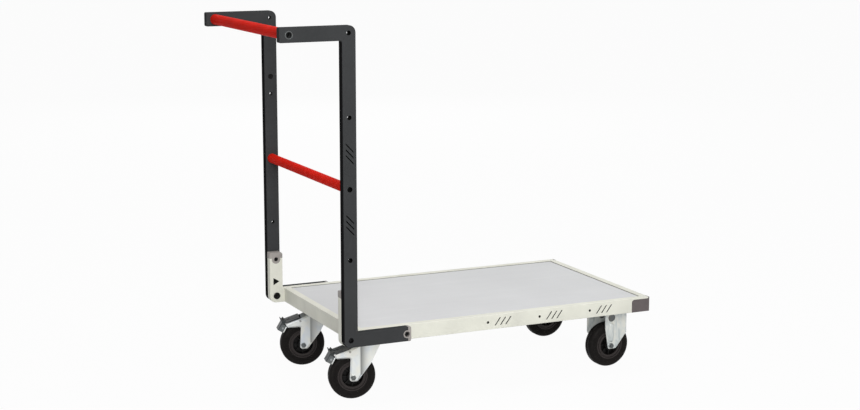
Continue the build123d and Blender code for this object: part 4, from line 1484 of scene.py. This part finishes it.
@dataclass
class Casters:
    """Both swivel casters and both fixed casters with their wheels."""

    shelf: FinishShelf
    swivel_x: float = -0.267
    fixed_x: float = 0.463
    caster_y: float = 0.182
    trail: float = 0.044
    axle_z: float = 0.0625
    rest_turn: float = math.radians(-13.0)
    swivel_reach: float = 0.0335
    fixed_reach: float = 0.029
    window_x: float = -0.002
    window_y: float = 0.0236
    window_z: float = 0.142

    def dress(self) -> None:
        """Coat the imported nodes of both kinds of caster."""
        for side in Side:
            word = side.word
            plated = ("top_plate", "swivel_balls", "kingpin", "fork")
            self.shelf.coat(Finish.ZINC, *(f"{word}_{part}" for part in plated))
            # The fixed brackets take the greyer zinc with painted shade and painted reflections
            self.shelf.coat(Finish.SHADED_ZINC, f"{word}_fixed_bracket")
            self.shelf.coat(Finish.MID_ZINC, f"{word}_rear_axle", f"{word}_front_axle", f"{word}_pedal_pin")
            self.shelf.coat(Finish.DARK_ZINC, f"{word}_brake_pedal")
            self.shelf.coat(Finish.DULL_ZINC, f"{word}_brake_shoe")

    def build_wheel(self, side: Side, end: End, axle: Matrix) -> None:
        """Dress and model one wheel with the collars of its axle.

        Args:
            side: Side of the cart.
            end: End of the cart.
            axle: Where the axle's middle is and how it is turned.
        """
        name = f"{side.word}_{end.value}"
        wheel = Wheel(self.shelf, name, axle)
        wheel.dress()
        wheel.build()
        if end is End.REAR:
            AxleEnds(self.shelf, name, f"{side.word}_caster", axle, self.swivel_reach).build()
        else:
            AxleEnds(self.shelf, name, "deck", axle, self.fixed_reach).build()

    def build(self) -> None:
        """Model the wheels, nut collars, fork creases, shoe pieces and window discs; the creases carry
        painted shade, the shoe's bright strips are painted highlight and the inner window discs are painted
        shade.
        """
        window = Matrix.Translation((self.window_x, self.window_y, self.window_z))
        windows = []
        for side in Side:
            y = side.value * self.caster_y
            fork = standing(self.swivel_x, y, 0, self.rest_turn)
            axle = fork @ Matrix.Translation((-self.trail, 0, self.axle_z))
            bracket = standing(self.fixed_x, y, 0)
            self.build_wheel(side, End.REAR, axle)
            self.build_wheel(side, End.FRONT, bracket @ Matrix.Translation((0, 0, self.axle_z)))
            ForkCreases(self.shelf, side, fork).build()
            ShoeHighlightsAndRivets(self.shelf, side, axle).build()
            # One window disc in each leg; those in the inner legs are painted shade
            windows += [bracket @ window, bracket @ TURNED_ROUND @ window]
        WindowDiscs(self.shelf, windows).build()


@dataclass(frozen=True)
class SoftBox:
    """A square studio lamp."""

    name: str
    place: Triple
    aim: Triple
    size: float
    watts: float
    gleams: bool = True

    def hang(self) -> None:
        """Hang the lamp and turn it to what it lights."""
        lamp = bpy.data.lights.new(self.name, "AREA")
        lamp.shape = "SQUARE"
        lamp.size = self.size
        lamp.energy = self.watts
        stand = bpy.data.objects.new(self.name, lamp)
        bpy.context.collection.objects.link(stand)
        stand.location = self.place
        stand.visible_glossy = self.gleams
        ray = Vector(self.aim) - Vector(self.place)
        stand.rotation_euler = ray.to_track_quat("-Z", "Y").to_euler()


@dataclass
class Studio:
    """Floor, light and camera."""

    camera_place: Triple = (-1.9962, -4.2662, 1.3256)
    camera_yaw: float = math.radians(25.068)
    camera_pitch: float = math.radians(10.352)
    focal_pixels: float = 1734.2
    picture_width: int = 860
    sensor_mm: float = 36.0
    floor_reach: float = 40.0
    floor_white: float = 0.96
    floor_bounce: float = 0.62
    ambient: float = 0.30
    lamps: tuple[SoftBox, ...] = (
        SoftBox("key_lamp", (-1.3, -4.0, 1.9), (0.1, 0, 0.4), 1.8, 121),
        SoftBox("top_lamp", (0.2, -0.2, 3.6), (0.1, 0, 0.2), 2.4, 47),
        SoftBox("fill_lamp", (2.0, 5.6, 2.2), (0, 0, 0.45), 2.4, 75, gleams=False),
    )

    @staticmethod
    def seen(tree: bpy.types.NodeTree, *rays: str) -> Socket:
        """Add a value that is 1 for rays from the camera and for other named rays, and 0 for the rest.

        Args:
            tree: The node tree that gets it.
            rays: The other rays, as the Light Path node names them.

        Returns:
            The value's socket.
        """
        path = tree.nodes.new("ShaderNodeLightPath")
        shown = path.outputs["Is Camera Ray"]
        for ray in rays:
            shown = calculate(tree, "MAXIMUM", shown, path.outputs[ray])
        return shown

    def build_floor(self) -> None:
        """Lay a large pale floor that keeps the cart's shadow."""
        Bench.clear()
        bpy.ops.mesh.primitive_plane_add(size=2 * self.floor_reach, location=(0, 0, 0))
        floor = bpy.context.object
        floor.name = "studio_floor"
        material = bpy.data.materials.new("studio_floor")
        material.use_nodes = True
        tree = material.node_tree
        tree.nodes.clear()
        matt = tree.nodes.new("ShaderNodeBsdfDiffuse")
        matt.inputs["Color"].default_value = (self.floor_bounce, self.floor_bounce, self.floor_bounce, 1)
        glow = tree.nodes.new("ShaderNodeEmission")
        share = calculate(tree, "MULTIPLY", self.seen(tree, "Is Glossy Ray"), self.floor_white)
        mix = tree.nodes.new("ShaderNodeMixShader")
        out = tree.nodes.new("ShaderNodeOutputMaterial")
        tree.links.new(share, mix.inputs["Fac"])
        tree.links.new(matt.outputs["BSDF"], mix.inputs[1])
        tree.links.new(glow.outputs["Emission"], mix.inputs[2])
        tree.links.new(mix.outputs["Shader"], out.inputs["Surface"])
        floor.data.materials.append(material)

    def build_world(self) -> None:
        """Light the cart evenly from all round, with white behind it and in its gloss."""
        world = bpy.data.worlds.new("studio_world")
        bpy.context.scene.world = world
        world.use_nodes = True
        tree = world.node_tree
        sky = tree.nodes["Background"]
        sky.inputs["Color"].default_value = (1, 1, 1, 1)
        level = tree.nodes.new("ShaderNodeMapRange")
        level.inputs["To Min"].default_value = self.ambient
        level.inputs["To Max"].default_value = 1.0
        tree.links.new(self.seen(tree, "Is Glossy Ray", "Is Transmission Ray"), level.inputs["Value"])
        tree.links.new(level.outputs["Result"], sky.inputs["Strength"])

    def build_camera(self) -> None:
        """Set the camera up at the photograph's angle."""
        lens = bpy.data.cameras.new("studio_camera")
        lens.sensor_width = self.sensor_mm
        lens.lens = self.focal_pixels / self.picture_width * self.sensor_mm
        lens.clip_end = 2 * self.floor_reach
        camera = bpy.data.objects.new("studio_camera", lens)
        bpy.context.collection.objects.link(camera)
        camera.location = self.camera_place
        camera.rotation_euler = (math.pi / 2 - self.camera_pitch, 0, -self.camera_yaw)
        bpy.context.scene.camera = camera

    def build(self) -> None:
        """Build the whole studio."""
        bpy.context.scene.view_settings.view_transform = "Standard"
        self.build_floor()
        self.build_world()
        for lamp in self.lamps:
            lamp.hang()
        self.build_camera()
        log.info("studio ready")


def main() -> None:
    """Dress the cart, add its fittings and set up the studio."""
    logging.basicConfig(level=logging.INFO, format="%(name)s: %(message)s")
    shelf = FinishShelf()
    for assembly in (Deck(shelf), HandleBack(shelf), Casters(shelf)):
        assembly.dress()
        assembly.build()
    Studio().build()


if __name__ == "__main__":
    main()
